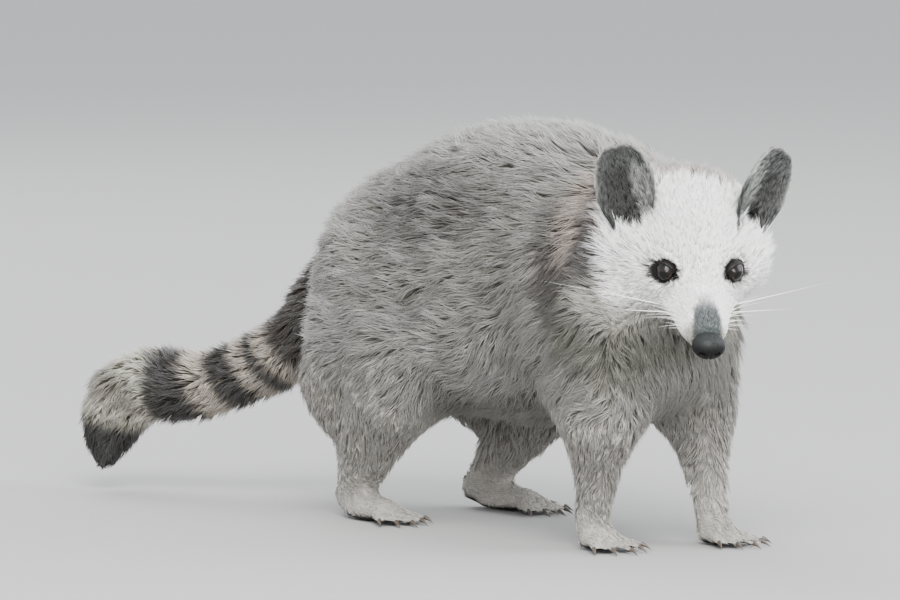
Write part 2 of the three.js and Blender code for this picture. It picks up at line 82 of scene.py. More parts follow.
# The solids' own layout, in millimetres: where its origin lies from theirs, and the frames of the head.
LAYOUT_ORIGIN = (2.28, -92.12, 0.0)
HEAD_PLACE = (212.0, -27.0, 210.0)
NOSE_REACH = 61.5
NOSE_DROP = 21.0
EYE_TURN = 28.0
EYE_LIFT = 4.0
EAR_HEIGHT = 46.0
EAR_WIDTH = 46.0
TAIL_PLACES = (
    (-174.0, 0.0, 194.0),
    (-226.0, -6.0, 166.0),
    (-266.0, -18.0, 123.0),
    (-316.0, -38.0, 95.0),
    (-360.0, -60.0, 83.0),
    (-388.0, -70.0, 85.0),
    (-404.0, -84.0, 73.0),
    (-411.0, -92.0, 46.0),
    (-412.0, -98.0, 22.0),
)
TAIL_RADII = (31.0, 38.0, 32.0, 31.0, 33.0, 36.0, 35.0, 28.0, 14.0)


# ---- Small helpers ---------------------------------------------------------------------------------


def linear(red: float, green: float, blue: float) -> np.ndarray:
    """Gives a display colour in light's own scale.

    Args:
        red: The red value, 0 to 255.
        green: The green value, 0 to 255.
        blue: The blue value, 0 to 255.

    Returns:
        The three values in linear light, 0 to 1.
    """
    value = np.array([red, green, blue], float) / 255.0
    return np.where(value <= 0.04045, value / 12.92, ((value + 0.055) / 1.055) ** 2.4)


def ramp(value: np.ndarray, start: float, end: float) -> np.ndarray:
    """Goes smoothly from 0 at start to 1 at end, whichever of the two is larger.

    Args:
        value: Where to read the ramp.
        start: The value at which it is 0.
        end: The value at which it is 1.

    Returns:
        The ramp at each value.
    """
    share = np.clip((np.asarray(value, float) - start) / (end - start), 0.0, 1.0)
    return share * share * (3.0 - 2.0 * share)


def mix(first: np.ndarray, second: np.ndarray, share: np.ndarray) -> np.ndarray:
    """Blends two lists of colours or directions.

    Args:
        first: The rows where share is 0.
        second: The rows where share is 1.
        share: One number for each row.

    Returns:
        The blended rows.
    """
    share = np.asarray(share, float)[..., None]
    return first * (1.0 - share) + second * share


def unit(vectors: np.ndarray) -> np.ndarray:
    """Gives each vector a length of one."""
    length = np.linalg.norm(vectors, axis=-1, keepdims=True)
    return vectors / np.maximum(length, 1e-12)


def dots(first: np.ndarray, second: np.ndarray) -> np.ndarray:
    """Multiplies vectors row by row."""
    return np.einsum("...i,...i->...", first, second)


@dataclass(frozen=True)
class Frame:
    """A place and its own forward, left and up directions, as the solids' source uses them."""

    origin: np.ndarray
    axes: np.ndarray

    @staticmethod
    def turn(right: float = 0.0, down: float = 0.0, tilt: float = 0.0) -> np.ndarray:
        """Makes a turn from three angles.

        Args:
            right: Degrees to the animal's right, about up.
            down: Degrees nose down, about left.
            tilt: Degrees about the forward line.

        Returns:
            A matrix whose columns are left, back and up.
        """
        z, x, y = (math.radians(angle) for angle in (-right, down, tilt))
        about_z = np.array([[math.cos(z), -math.sin(z), 0], [math.sin(z), math.cos(z), 0], [0, 0, 1]])
        about_x = np.array([[1, 0, 0], [0, math.cos(x), -math.sin(x)], [0, math.sin(x), math.cos(x)]])
        about_y = np.array([[math.cos(y), 0, math.sin(y)], [0, 1, 0], [-math.sin(y), 0, math.cos(y)]])
        return about_z @ about_x @ about_y

    def at(self, forward: float, left: float, up: float) -> np.ndarray:
        """Gives the point at millimetres forward, left and up, in metres."""
        return self.origin + self.axes @ np.array([left, -forward, up]) * MM

    def inner(self, place: tuple[float, float, float], **turns: float) -> "Frame":
        """Makes a frame inside this one.

        Args:
            place: Its origin as forward, left and up.
            **turns: The angles that Frame.turn takes.

        Returns:
            The new frame.
        """
        return Frame(self.at(*place), self.axes @ Frame.turn(**turns))

    def local(self, points: np.ndarray) -> np.ndarray:
        """Gives points as rows of forward, left and up, in millimetres."""
        seen = (points - self.origin) @ self.axes / MM
        return np.stack([-seen[:, 1], seen[:, 0], seen[:, 2]], axis=1)

    @property
    def forward(self) -> np.ndarray:
        """The forward direction."""
        return -self.axes[:, 1]

    @property
    def left(self) -> np.ndarray:
        """The left direction."""
        return self.axes[:, 0]

    @property
    def up(self) -> np.ndarray:
        """The up direction."""
        return self.axes[:, 2]


LAYOUT = Frame(np.array(LAYOUT_ORIGIN) * MM, np.eye(3))
HEAD = LAYOUT.inner(HEAD_PLACE, right=33.0, down=33.0, tilt=1.0)
NOSE = HEAD.inner((NOSE_REACH, 0.0, -NOSE_DROP), down=8.0)
EARS = {
    "right": HEAD.inner((-44.0, -47.5, 24.0), right=20.0, down=-24.0, tilt=-25.0),
    "left": HEAD.inner((-44.0, 46.0, 24.0), right=-42.0, down=-20.0, tilt=51.0),
}
SIDES = {"right": -1.0, "left": 1.0}


class Region(Enum):
    """The parts of the body that the coat tells apart."""

    HEAD = 0
    JAW = 1
    NECK = 2
    TRUNK = 3
    UPPER_LEG = 4
    LOWER_LEG = 5
    PAW = 6
    TAIL = 7
    EAR = 8
    NOSE = 9
    EYE = 10

    @staticmethod
    def of(node: str) -> "Region":
        """Gives the region that a solid belongs to, by its name."""
        words = (
            ("ear", Region.EAR),
            ("eye", Region.EYE),
            ("nose", Region.NOSE),
            ("head", Region.HEAD),
            ("jaw", Region.JAW),
            ("neck", Region.NECK),
            ("tail", Region.TAIL),
            ("_paw", Region.PAW),
            ("_lower", Region.LOWER_LEG),
            ("_upper", Region.UPPER_LEG),
        )
        return next((region for word, region in words if word in node), Region.TRUNK)


@dataclass(frozen=True)
class Lie:
    """How the coat lies in a region. Lengths are in millimetres."""

    depth: float
    length: float
    width: float
    density: float
    clump: float

    def row(self) -> np.ndarray:
        """Gives its numbers in the order of the fields."""
        return np.array(astuple(self))


LIES = {
    Region.HEAD: Lie(depth=4.0, length=9.5, width=0.5, density=1.15, clump=0.2),
    Region.JAW: Lie(depth=3.0, length=7.0, width=0.5, density=1.1, clump=0.2),
    Region.NECK: Lie(depth=15.0, length=30.0, width=0.85, density=0.46, clump=0.38),
    Region.TRUNK: Lie(depth=14.0, length=28.0, width=0.85, density=0.34, clump=0.36),
    Region.UPPER_LEG: Lie(depth=12.0, length=25.0, width=0.85, density=0.33, clump=0.38),
    Region.LOWER_LEG: Lie(depth=5.0, length=14.0, width=0.8, density=0.26, clump=0.4),
    Region.PAW: Lie(depth=1.1, length=5.5, width=0.6, density=0.36, clump=0.2),
    Region.TAIL: Lie(depth=15.0, length=15.5, width=0.9, density=0.42, clump=0.2),
    Region.EAR: Lie(depth=0.0, length=8.0, width=0.42, density=1.4, clump=0.25),
    Region.NOSE: Lie(depth=1.0, length=2.0, width=0.5, density=0.0, clump=0.0),
    Region.EYE: Lie(depth=1.5, length=2.0, width=0.5, density=0.0, clump=0.0),
}
LOOSE_LIE = Lie(depth=9.0, length=17.0, width=0.62, density=0.68, clump=0.3)
TIGHT_LIE = Lie(depth=1.7, length=4.2, width=0.46, density=1.6, clump=0.1)
PAD_SIZE = (9.4, 12.6, 9.2)


def pad_reach(points: np.ndarray) -> np.ndarray:
    """Gives each point's distance from the nose pad's middle, where one is the pad's surface."""
    deep, wide, high = PAD_SIZE
    forward, left, up = NOSE.local(points).T
    return np.sqrt((forward / deep) ** 2 + (left / wide) ** 2 + (up / high) ** 2)


# ---- Meshes as arrays ------------------------------------------------------------------------------


@dataclass
class Net:
    """A triangle mesh as arrays, with what smoothing and offsets need."""

    points: np.ndarray
    faces: np.ndarray
    edges: np.ndarray = field(init=False)
    valence: np.ndarray = field(init=False)

    def __post_init__(self) -> None:
        """Finds the edges."""
        pairs = np.concatenate([self.faces[:, [0, 1]], self.faces[:, [1, 2]], self.faces[:, [2, 0]]])
        self.edges = np.unique(np.sort(pairs, axis=1), axis=0)
        self.valence = np.bincount(self.edges.ravel(), minlength=len(self.points)).astype(float)

    @staticmethod
    def read(mesh: bpy.types.Mesh) -> "Net":
        """Reads a mesh whose faces are all triangles."""
        points = np.empty(len(mesh.vertices) * 3)
        mesh.vertices.foreach_get("co", points)
        corners = np.empty(len(mesh.loops), dtype=np.int32)
        mesh.loops.foreach_get("vertex_index", corners)
        return Net(points.reshape(-1, 3), corners.reshape(-1, 3).astype(np.int64))

    def spread(self, values: np.ndarray, rounds: int, strength: float = 0.5) -> np.ndarray:
        """Evens out values over the surface.

        Args:
            values: One number or one row for each point.
            rounds: How many times each point moves towards its neighbours' mean.
            strength: How far it moves each time.

        Returns:
            The evened values.
        """
        flat = values.reshape(len(self.points), -1).astype(float)
        first, second = self.edges.T
        for _ in range(rounds):
            mean = np.empty_like(flat)
            for column in range(flat.shape[1]):
                gathered = np.bincount(first, flat[second, column], len(flat))
                gathered += np.bincount(second, flat[first, column], len(flat))
                mean[:, column] = gathered / np.maximum(self.valence, 1.0)
            flat += (mean - flat) * strength
        return flat.reshape(values.shape)

    def smooth(self, rounds: int, hold: np.ndarray | float = 0.0) -> None:
        """Takes the facets off the surface and keeps its volume.

        Args:
            rounds: How many in-and-out rounds to do.
            hold: How much each point stays put, 0 to 1.
        """
        for _ in range(rounds):
            for strength in (0.6, -0.62):
                moved = self.spread(self.points, 1, strength)
                self.points += (moved - self.points) * (1.0 - np.reshape(hold, (-1, 1)))

    def face_normals(self) -> np.ndarray:
        """Gives each face's outward normal, as long as twice its area."""
        a, b, c = (self.points[self.faces[:, corner]] for corner in range(3))
        return np.cross(b - a, c - a)

    def normals(self) -> np.ndarray:
        """Gives each point's outward normal."""
        whole = self.face_normals()
        gathered = np.zeros_like(self.points)
        for corner in range(3):
            for axis in range(3):
                gathered[:, axis] += np.bincount(self.faces[:, corner], whole[:, axis], len(self.points))
        return unit(gathered)

    def tree(self) -> BVHTree:
        """Makes a tree that finds the nearest face."""
        return BVHTree.FromPolygons(self.points.tolist(), self.faces.tolist())


def new_mesh(name: str, points: np.ndarray, faces: np.ndarray, smooth: bool = True) -> bpy.types.Mesh:
    """Makes a mesh from arrays.

    Args:
        name: The mesh's name.
        points: One row for each point, in metres.
        faces: One row of point numbers for each face, all of one size.
        smooth: Whether its faces are shaded smoothly.

    Returns:
        The mesh.
    """
    mesh = bpy.data.meshes.new(name)
    sides = faces.shape[1]
    mesh.vertices.add(len(points))
    mesh.vertices.foreach_set("co", np.ascontiguousarray(points, dtype=np.float32).ravel())
    mesh.loops.add(len(faces) * sides)
    mesh.loops.foreach_set("vertex_index", np.ascontiguousarray(faces, dtype=np.int32).ravel())
    mesh.polygons.add(len(faces))
    mesh.polygons.foreach_set("loop_start", np.arange(len(faces), dtype=np.int32) * sides)
    mesh.polygons.foreach_set("use_smooth", np.full(len(faces), smooth))
    mesh.update(calc_edges=True)
    return mesh


def new_piece(name: str, mesh: bpy.types.Mesh, material: bpy.types.Material) -> bpy.types.Object:
    """Adds a finished piece to the scene and to the body.

    Args:
        name: The piece's name.
        mesh: Its mesh.
        material: Its finish.

    Returns:
        The object.
    """
    piece = bpy.data.objects.new(name, mesh)
    bpy.context.scene.collection.objects.link(piece)
    mesh.materials.clear()
    mesh.materials.append(material)
    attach(piece, BODY)
    LOG.info("%s: %d faces", name, len(mesh.polygons))
    return piece


def set_colours(mesh: bpy.types.Mesh, name: str, colours: np.ndarray) -> None:
    """Stores one colour for each point of a mesh.

    Args:
        mesh: The mesh.
        name: The attribute's name.
        colours: Rows of linear red, green and blue.
    """
    layer = mesh.attributes.new(name, "FLOAT_COLOR", "POINT")
    rows = np.concatenate([colours, np.ones((len(colours), 1))], axis=1)
    layer.data.foreach_set("color", rows.astype(np.float32).ravel())


# ---- Finishes --------------------------------------------------------------------------------------


class Nodes:
    """A material's node tree, with short calls to add and join nodes."""

    def __init__(self, name: str) -> None:
        """Starts a material with a shader and its output."""
        self.material = bpy.data.materials.new(name)
        self.material.use_nodes = True
        self.tree = self.material.node_tree
        self.shader = self.tree.nodes["Principled BSDF"]

    def add(self, kind: str, **settings: object) -> bpy.types.Node:
        """Adds a node.

        Args:
            kind: The node's type name.
            **settings: Values for its properties, or for its inputs where a name isn't a property.

        Returns:
            The node.
        """
        node = self.tree.nodes.new(kind)
        for name, value in settings.items():
            if hasattr(node, name):
                setattr(node, name, value)
            else:
                node.inputs[name.replace("_", " ").title()].default_value = value
        return node

    def join(self, source: bpy.types.NodeSocket, target: bpy.types.NodeSocket) -> None:
        """Joins two sockets."""
        self.tree.links.new(source, target)

    def noise(self, scale: float, detail: float = 2.0) -> bpy.types.NodeSocket:
        """Adds a noise over the piece's own coordinates and gives its value socket."""
        place = self.add("ShaderNodeTexCoord")
        noise = self.add("ShaderNodeTexNoise", scale=scale, detail=detail)
        self.join(place.outputs["Object"], noise.inputs["Vector"])
        return noise.outputs["Fac"]

    def bump(self, height: bpy.types.NodeSocket, strength: float, distance: float) -> None:
        """Bends the shader's normal by a height, over a distance in metres."""
        bump = self.add("ShaderNodeBump", strength=strength, distance=distance)
        self.join(height, bump.inputs["Height"])
        self.join(bump.outputs["Normal"], self.shader.inputs["Normal"])

    def tinted(self, attribute: str, noise: bpy.types.NodeSocket, low: float, high: float) -> None:
        """Colours the shader by an attribute, made darker and paler by a noise.

        Args:
            attribute: The colour attribute's name.
            noise: The noise's value.
            low: What the colour is multiplied by where the noise is low.
            high: And where it is high.
        """
        stored = self.add("ShaderNodeAttribute", attribute_name=attribute)
        span = self.add("ShaderNodeMapRange", from_min=0.3, from_max=0.7, to_min=low, to_max=high)
        scaled = self.add("ShaderNodeVectorMath", operation="SCALE")
        self.join(noise, span.inputs["Value"])
        self.join(stored.outputs["Color"], scaled.inputs[0])
        self.join(span.outputs["Result"], scaled.inputs["Scale"])
        self.join(scaled.outputs["Vector"], self.shader.inputs["Base Color"])


@dataclass(frozen=True)
class FurFinish:
    """The finish of the coat: each hair's colour is stored on it."""

    name: str
    roughness: float = 0.52
    sheen: float = 0.15
    vary: float = 0.14

    def material(self) -> bpy.types.Material:
        """Builds the material."""
        nodes = Nodes(self.name)
        nodes.tinted("coat", nodes.noise(900.0), 1.0 - self.vary, 1.0 + self.vary)
        nodes.shader.inputs["Roughness"].default_value = self.roughness
        nodes.shader.inputs["Specular IOR Level"].default_value = 0.35
        nodes.shader.inputs["Sheen Weight"].default_value = self.sheen
        nodes.shader.inputs["Sheen Roughness"].default_value = 0.5
        return nodes.material


@dataclass(frozen=True)
class SkinFinish:
    """The finish of the skin: short dense underfur in the coat's markings, as colour and bump."""

    name: str = "skin_underfur"
    grain: float = 1400.0

    def material(self) -> bpy.types.Material:
        """Builds the material."""
        nodes = Nodes(self.name)
        fine = nodes.noise(self.grain, 3.0)
        nodes.tinted("coat", fine, 0.72, 1.2)
        nodes.shader.inputs["Roughness"].default_value = 0.85
        nodes.shader.inputs["Specular IOR Level"].default_value = 0.2
        nodes.bump(fine, 0.6, 0.0008)
        return nodes.material


@dataclass(frozen=True)
class EyeFinish:
    """A very dark brown eye behind a clear wet front. The attribute holds its colour from pupil to edge."""

    name: str = "eye_wet"

    def material(self) -> bpy.types.Material:
        """Builds the material."""
        nodes = Nodes(self.name)
        nodes.tinted("coat", nodes.noise(600.0, 4.0), 0.6, 1.5)
        nodes.shader.inputs["Roughness"].default_value = 0.3
        nodes.shader.inputs["Specular IOR Level"].default_value = 0.05
        nodes.shader.inputs["Coat Weight"].default_value = 0.7
        nodes.shader.inputs["Coat IOR"].default_value = 1.38
        nodes.shader.inputs["Coat Roughness"].default_value = 0.02
        return nodes.material


@dataclass(frozen=True)
class NoseFinish:
    """Damp, pebbled, near-black skin."""

    name: str = "nose_leather"

    def material(self) -> bpy.types.Material:
        """Builds the material."""
        nodes = Nodes(self.name)
        place = nodes.add("ShaderNodeTexCoord")
        cells = nodes.add("ShaderNodeTexVoronoi", scale=1100.0)
        nodes.join(place.outputs["Object"], cells.inputs["Vector"])
        nodes.tinted("coat", nodes.noise(500.0), 0.7, 1.4)
        nodes.shader.inputs["Roughness"].default_value = 0.5
        nodes.shader.inputs["Specular IOR Level"].default_value = 0.16
        nodes.shader.inputs["Coat Weight"].default_value = 0.06
        nodes.shader.inputs["Coat Roughness"].default_value = 0.2
        nodes.bump(cells.outputs["Distance"], 0.55, 0.0005)
        return nodes.material


@dataclass(frozen=True)
class HornFinish:
    """Dark translucent-looking horn, streaked along the claw."""

    name: str = "claw_horn"

    def material(self) -> bpy.types.Material:
        """Builds the material."""
        nodes = Nodes(self.name)
        nodes.tinted("coat", nodes.noise(1200.0, 3.0), 0.7, 1.35)
        nodes.shader.inputs["Roughness"].default_value = 0.32
        nodes.bump(nodes.noise(2500.0, 2.0), 0.2, 0.0002)
        return nodes.material


@dataclass(frozen=True)
class FloorFinish:
    """Plain pale matt floor."""

    name: str = "floor_pale"

    def material(self) -> bpy.types.Material:
        """Builds the material."""
        nodes = Nodes(self.name)
        nodes.shader.inputs["Base Color"].default_value = (0.30, 0.298, 0.293, 1.0)
        nodes.shader.inputs["Roughness"].default_value = 0.9
        nodes.shader.inputs["Specular IOR Level"].default_value = 0.1
        return nodes.material


# ---- The tail's own line ---------------------------------------------------------------------------


@dataclass
class TailLine:
    """The line down the middle of the tail."""

    places: tuple[tuple[float, float, float], ...] = TAIL_PLACES
    points: np.ndarray = field(init=False)
    along: np.ndarray = field(init=False)
    directions: np.ndarray = field(init=False)

    def __post_init__(self) -> None:
        """Draws the line through its places and measures it."""
        knots = np.array([LAYOUT.at(*place) for place in self.places])
        knots = np.concatenate([2 * knots[:1] - knots[1:2], knots, 2 * knots[-1:] - knots[-2:-1]])
        share = np.linspace(0.0, 1.0, 12, endpoint=False)[:, None]
        rows = []
        for a, b, c, d in zip(knots, knots[1:], knots[2:], knots[3:]):
            bend = 2 * a - 5 * b + 4 * c - d
            twist = 3 * b - a - 3 * c + d
            rows.append(b + 0.5 * share * ((c - a) + share * (bend + share * twist)))
        self.points = np.concatenate([*rows, knots[-2:-1]])
        steps = np.linalg.norm(np.diff(self.points, axis=0), axis=1)
        self.along = np.concatenate([[0.0], np.cumsum(steps)]) / MM
        self.directions = unit(np.gradient(self.points, axis=0))

    def nearest(self, points: np.ndarray) -> np.ndarray:
        """Gives the number of the line's point nearest to each given point."""
        gaps = np.linalg.norm(points[:, None, :] - self.points[None, :, :], axis=2)
        return gaps.argmin(axis=1)


# ---- The skin --------------------------------------------------------------------------------------


@dataclass
class Skin:
    """The skin under the coat, with the fields that the coat grows by.

    Args:
        nodes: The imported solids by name.
        tail: The tail's own line.
        eyes: The middle of each eye, by side.
    """

    nodes: dict[str, bpy.types.Object]
    tail: TailLine
    eyes: dict[str, np.ndarray]
    voxel: float = 3.0
    swell: float = 1.7
    fine_swell: float = 0.55
    body_closing: float = 4.5
    head_closing: float = 2.5
    comb_rounds: int = 30
    ear_smooth: tuple[float, float] = (18.0, 28.0)
    ear_pit: float = 3.0
    ear_root: float = 17.0
    root_band: float = 7.0
    root_narrowing: float = 0.35
    hollow_hair: tuple[float, float, float] = (7.0, 0.4, 1.2)
    lid_hair: float = 2.8
    wave: float = 0.9
    wave_size: float = 24.0
    body_rounds: int = 80
    head_rounds: int = 10
    field_rounds: int = 36
    shrink_steps: int = 10
    eye_radius: float = 8.2
    net: Net = field(init=False)
    regions: np.ndarray = field(init=False)
    lies: dict[str, np.ndarray] = field(init=False)
    comb: np.ndarray = field(init=False)
    outline: np.ndarray = field(init=False)
    tree: BVHTree = field(init=False)

    def build(self) -> None:
        """Makes the outline, takes the coat's depth off it and lays the coat's directions on it."""
        source, faces, marks = self.gather()
        self.net = self.fused(source, faces)
        self.regions = self.nearest_regions(self.net.points, source, faces, marks)
        closing = self.net.spread(self.by_region(self.closing_of), 10)
        self.net = self.fused(self.net.points + self.net.normals() * closing[:, None] * MM, self.net.faces)
        self.regions = self.nearest_regions(self.net.points, source, faces, marks)
        self.net = self.refined(self.net, np.isin(self.regions, self.fine_regions()))
        self.regions = self.nearest_regions(self.net.points, source, faces, marks)
        self.even_out()
        self.add_ears()
        self.outline = self.net.points.copy()
        self.lies = self.read_lies()
        self.shrink()
        self.shape_face()
        self.comb = self.read_comb()
        self.tree = self.net.tree()
        LOG.info("skin: %d triangles", len(self.net.faces))

    @staticmethod
    def fine_regions() -> list[int]:
        """Lists the regions that get smaller triangles."""
        return [region.value for region in (Region.HEAD, Region.JAW, Region.EAR, Region.EYE, Region.NOSE)]

    def gather(self) -> tuple[np.ndarray, np.ndarray, np.ndarray]:
        """Collects the solids, each a little swollen so that they meet.

        Returns:
            The points, the triangles and the region of each triangle.
        """
        points, faces, marks = [], [], []
        start = 0
        for name, node in sorted(self.nodes.items()):
            if Region.of(name) is Region.EAR:
                continue
            shell = bmesh.new()
            shell.from_mesh(node.data)
            bmesh.ops.remove_doubles(shell, verts=shell.verts, dist=1e-6)
            bmesh.ops.triangulate(shell, faces=shell.faces)
            shell.normal_update()
            swell = self.swell_of(Region.of(name)) * MM
            points.append([vert.co + vert.normal * swell for vert in shell.verts])
            rows = [[vert.index + start for vert in face.verts] for face in shell.faces]
            faces.append(rows)
            marks.append(np.full(len(rows), Region.of(name).value))
            start += len(shell.verts)
            shell.free()
        return np.concatenate(points), np.concatenate(faces), np.concatenate(marks)

    def swell_of(self, region: Region) -> float:
        """Gives how much a region's solids are swollen before they are joined, in millimetres."""
        fine = region in (Region.EYE, Region.NOSE, Region.EAR, Region.PAW)
        return self.fine_swell if fine else self.swell

    def closing_of(self, region: Region) -> float:
        """Gives how far the joined skin is moved out and back to close what is left of the cuts."""
        if region in (Region.EYE, Region.NOSE, Region.EAR, Region.PAW):
            return 0.0
        return self.head_closing if region in (Region.HEAD, Region.JAW) else self.body_closing

    def by_region(self, amount: Callable[[Region], float]) -> np.ndarray:
        """Gives each point its region's amount."""
        return np.array([amount(region) for region in Region])[self.regions]

    def fused(self, points: np.ndarray, faces: np.ndarray) -> Net:
        """Joins overlapping shells into one closed skin.

        Args:
            points: Their points.
            faces: Their triangles.

        Returns:
            The skin.
        """
        block = bpy.data.objects.new("skin_block", new_mesh("skin_block", points, faces))
        bpy.context.scene.collection.objects.link(block)
        remesh = block.modifiers.new("fuse", "REMESH")
        remesh.mode = "VOXEL"
        remesh.voxel_size = self.voxel * MM
        result = bpy.data.meshes.new_from_object(block.evaluated_get(bpy.context.evaluated_depsgraph_get()))
        bpy.data.objects.remove(block)
        return self.triangles(result, np.zeros(0, int))

    @staticmethod
    def triangles(mesh: bpy.types.Mesh, cut: np.ndarray) -> Net:
        """Turns a mesh into triangles and removes it.

        Args:
            mesh: The mesh.
            cut: Numbers of the points between which edges are cut in two first.

        Returns:
            Its largest connected shell.
        """
        shell = bmesh.new()
        shell.from_mesh(mesh)
        bpy.data.meshes.remove(mesh)
        if len(cut):
            chosen = np.zeros(len(shell.verts), bool)
            chosen[cut] = True
            edges = [edge for edge in shell.edges if all(chosen[vert.index] for vert in edge.verts)]
            bmesh.ops.subdivide_edges(shell, edges=edges, cuts=1, use_grid_fill=True)
        bmesh.ops.triangulate(shell, faces=shell.faces)
        shell.verts.index_update()
        rows = np.array([[vert.index for vert in face.verts] for face in shell.faces])
        points = np.array([vert.co for vert in shell.verts])
        shell.free()
        return Skin.largest_shell(points, rows)

    @staticmethod
    def largest_shell(points: np.ndarray, faces: np.ndarray) -> Net:
        """Keeps the connected shell with the most points."""
        label = np.arange(len(points))
        while True:
            low = label[faces].min(axis=1)
            before = label.copy()
            for corner in range(3):
                np.minimum.at(label, faces[:, corner], low)
            label = label[label]
            if np.array_equal(before, label):
                break
        names, counts = np.unique(label, return_counts=True)
        keep = label == names[counts.argmax()]
        number = np.cumsum(keep) - 1
        return Net(points[keep], number[faces[keep[faces[:, 0]]]])

    def refined(self, net: Net, fine: np.ndarray) -> Net:
        """Halves the triangles at the chosen points."""
        return self.triangles(new_mesh("skin_fine", net.points, net.faces), np.flatnonzero(fine))

    @staticmethod
    def nearest_regions(
        places: np.ndarray, points: np.ndarray, faces: np.ndarray, marks: np.ndarray
    ) -> np.ndarray:
        """Finds the region of the solid nearest to each place.

        Args:
            places: Where to look from.
            points: The solids' points.
            faces: Their triangles.
            marks: The region of each triangle.

        Returns:
            A region for each place.
        """
        tree = BVHTree.FromPolygons(points.tolist(), faces.tolist())
        return np.array([marks[tree.find_nearest(place)[2]] for place in places.tolist()])

    def even_out(self) -> None:
        """Takes facets and voxel steps off the outline, and leaves the small parts crisp."""
        firm = np.isin(self.regions, [Region.PAW.value, *self.fine_regions()]).astype(float)
        firm = self.net.spread(firm, 8)
        self.net.smooth(self.head_rounds)
        self.net.smooth(self.body_rounds, hold=firm)
        swells = self.net.spread(self.by_region(self.swell_of) + self.by_region(self.closing_of), 12)
        self.net.points -= self.net.normals() * (swells * MM)[:, None]
        roots = [np.linalg.norm(frame.local(self.net.points), axis=1) for frame in EARS.values()]
        at_ear = ramp(np.minimum(*roots), self.ear_smooth[1], self.ear_smooth[0])
        head = self.net.spread(np.isin(self.regions, [Region.HEAD.value, Region.JAW.value]).astype(float), 24)
        low = ramp(HEAD.local(self.net.points)[:, 2], -12.0, -34.0)
        soft = np.maximum(at_ear, 4.0 * head * (1.0 - head) * low)[:, None]
        for _ in range(120):
            moved = self.net.spread(self.net.points, 1)
            self.net.points += (moved - self.net.points) * soft

    def add_ears(self) -> None:
        """Adds a finely divided shell for each ear, rooted in the joined skin."""
        points, faces, regions = [self.net.points], [self.net.faces], [self.regions]
        outline = self.net.tree()
        start = len(self.net.points)
        for side in SIDES:
            shell = bmesh.new()
            shell.from_mesh(self.nodes[f"ear_{side}"].data)
            bmesh.ops.remove_doubles(shell, verts=shell.verts, dist=1e-6)
            for _ in range(2):
                bmesh.ops.subdivide_edges(shell, edges=shell.edges, cuts=1, use_grid_fill=True)
            bmesh.ops.triangulate(shell, faces=shell.faces)
            shell.verts.index_update()
            rows = np.array([[vert.index for vert in face.verts] for face in shell.faces])
            ear = Net(np.array([vert.co for vert in shell.verts]), rows)
            shell.free()
            ear.smooth(4)
            self.sink_root(ear, EARS[side], outline)
            points.append(ear.points)
            faces.append(rows + start)
            regions.append(np.full(len(ear.points), Region.EAR.value))
            start += len(ear.points)
        self.net = Net(np.concatenate(points), np.concatenate(faces))
        self.regions = np.concatenate(regions)

    def sink_root(self, ear: Net, frame: Frame, tree: BVHTree) -> None:
        """Draws the cut end of an ear down through the coat into the skin, and narrows it on the way.

        Args:
            ear: The ear's shell.
            frame: The ear's own frame.
            tree: Finds the nearest face of the joined skin's outline.
        """
        gaps = np.array([tree.find_nearest(point)[3] for point in ear.points.tolist()]) / MM
        low = ramp(gaps, self.root_band, 1.0)
        left = frame.local(ear.points)[:, 1]
        sunk = frame.up * (low * self.ear_root)[:, None]
        narrowed = frame.left * (left * low * self.root_narrowing)[:, None]
        ear.points -= (sunk + narrowed) * MM

    def within(self, *regions: Region) -> np.ndarray:
        """Tells which points lie in any of the regions."""
        return np.isin(self.regions, [region.value for region in regions])

    def eye_gap(self, points: np.ndarray) -> np.ndarray:
        """Gives each point's distance to the nearer eye's middle, in millimetres."""
        gaps = [np.linalg.norm(points - middle, axis=1) for middle in self.eyes.values()]
        return np.minimum(*gaps) / MM

    def read_lies(self) -> dict[str, np.ndarray]:
        """Spreads each region's own numbers over the skin so that they change gently.

        Returns:
            Depth, length, width, density and clump at each point.
        """
        points = self.net.points
        values = np.array([LIES[region].row() for region in Region])[self.regions]
        forward, left, _ = HEAD.local(points).T
        on_head = self.within(Region.HEAD, Region.JAW)
        cheek = on_head * ramp(np.abs(left), 20.0, 42.0) * ramp(forward, -2.0, -26.0)
        crown = on_head * ramp(forward, -38.0, -80.0)
        loose = np.maximum(cheek, crown)[:, None]
        values = values + loose * (LOOSE_LIE.row() - values)
        values = self.net.spread(values, self.field_rounds)
        line = self.tail.nearest(points)
        radius = np.interp(self.tail.along[line], np.linspace(0.0, self.tail.along[-1], 9), TAIL_RADII)
        on_tail = self.net.spread((self.regions == Region.TAIL.value).astype(float), 10)
        values[:, 0] += on_tail * (0.36 * radius - values[:, 0])
        near_eye = ramp(self.eye_gap(points), 19.0, 11.0)
        at_lid = ramp(self.eye_gap(points), 15.0, 11.5)
        snout = on_head * ramp(forward, 2.0, 22.0)
        tight = np.maximum(near_eye, snout)[:, None]
        values = values + tight * (TIGHT_LIE.row() - values)
        values[:, 1] += at_lid * (self.lid_hair - values[:, 1])
        for side in SIDES:
            before = self.before_ear(side)
            values[:, 0] += before * self.ear_pit
            for column, value in enumerate(self.hollow_hair, start=1):
                values[:, column] += before * (value - values[:, column])
        names = [item.name for item in fields(Lie)]
        return {name: values[:, column] for column, name in enumerate(names)}

    def before_ear(self, side: str) -> np.ndarray:
        """Gives how much each point of the outline lies on the head just before an ear's hollow."""
        forward, left, up = EARS[side].local(self.outline).T
        near = ramp(np.hypot(left / 21.0, (up - 3.0) / 15.0), 1.15, 0.75)
        near = near * ramp(forward, -9.0, -3.0) * ramp(forward, 24.0, 14.0)
        return near * (self.regions == Region.HEAD.value)

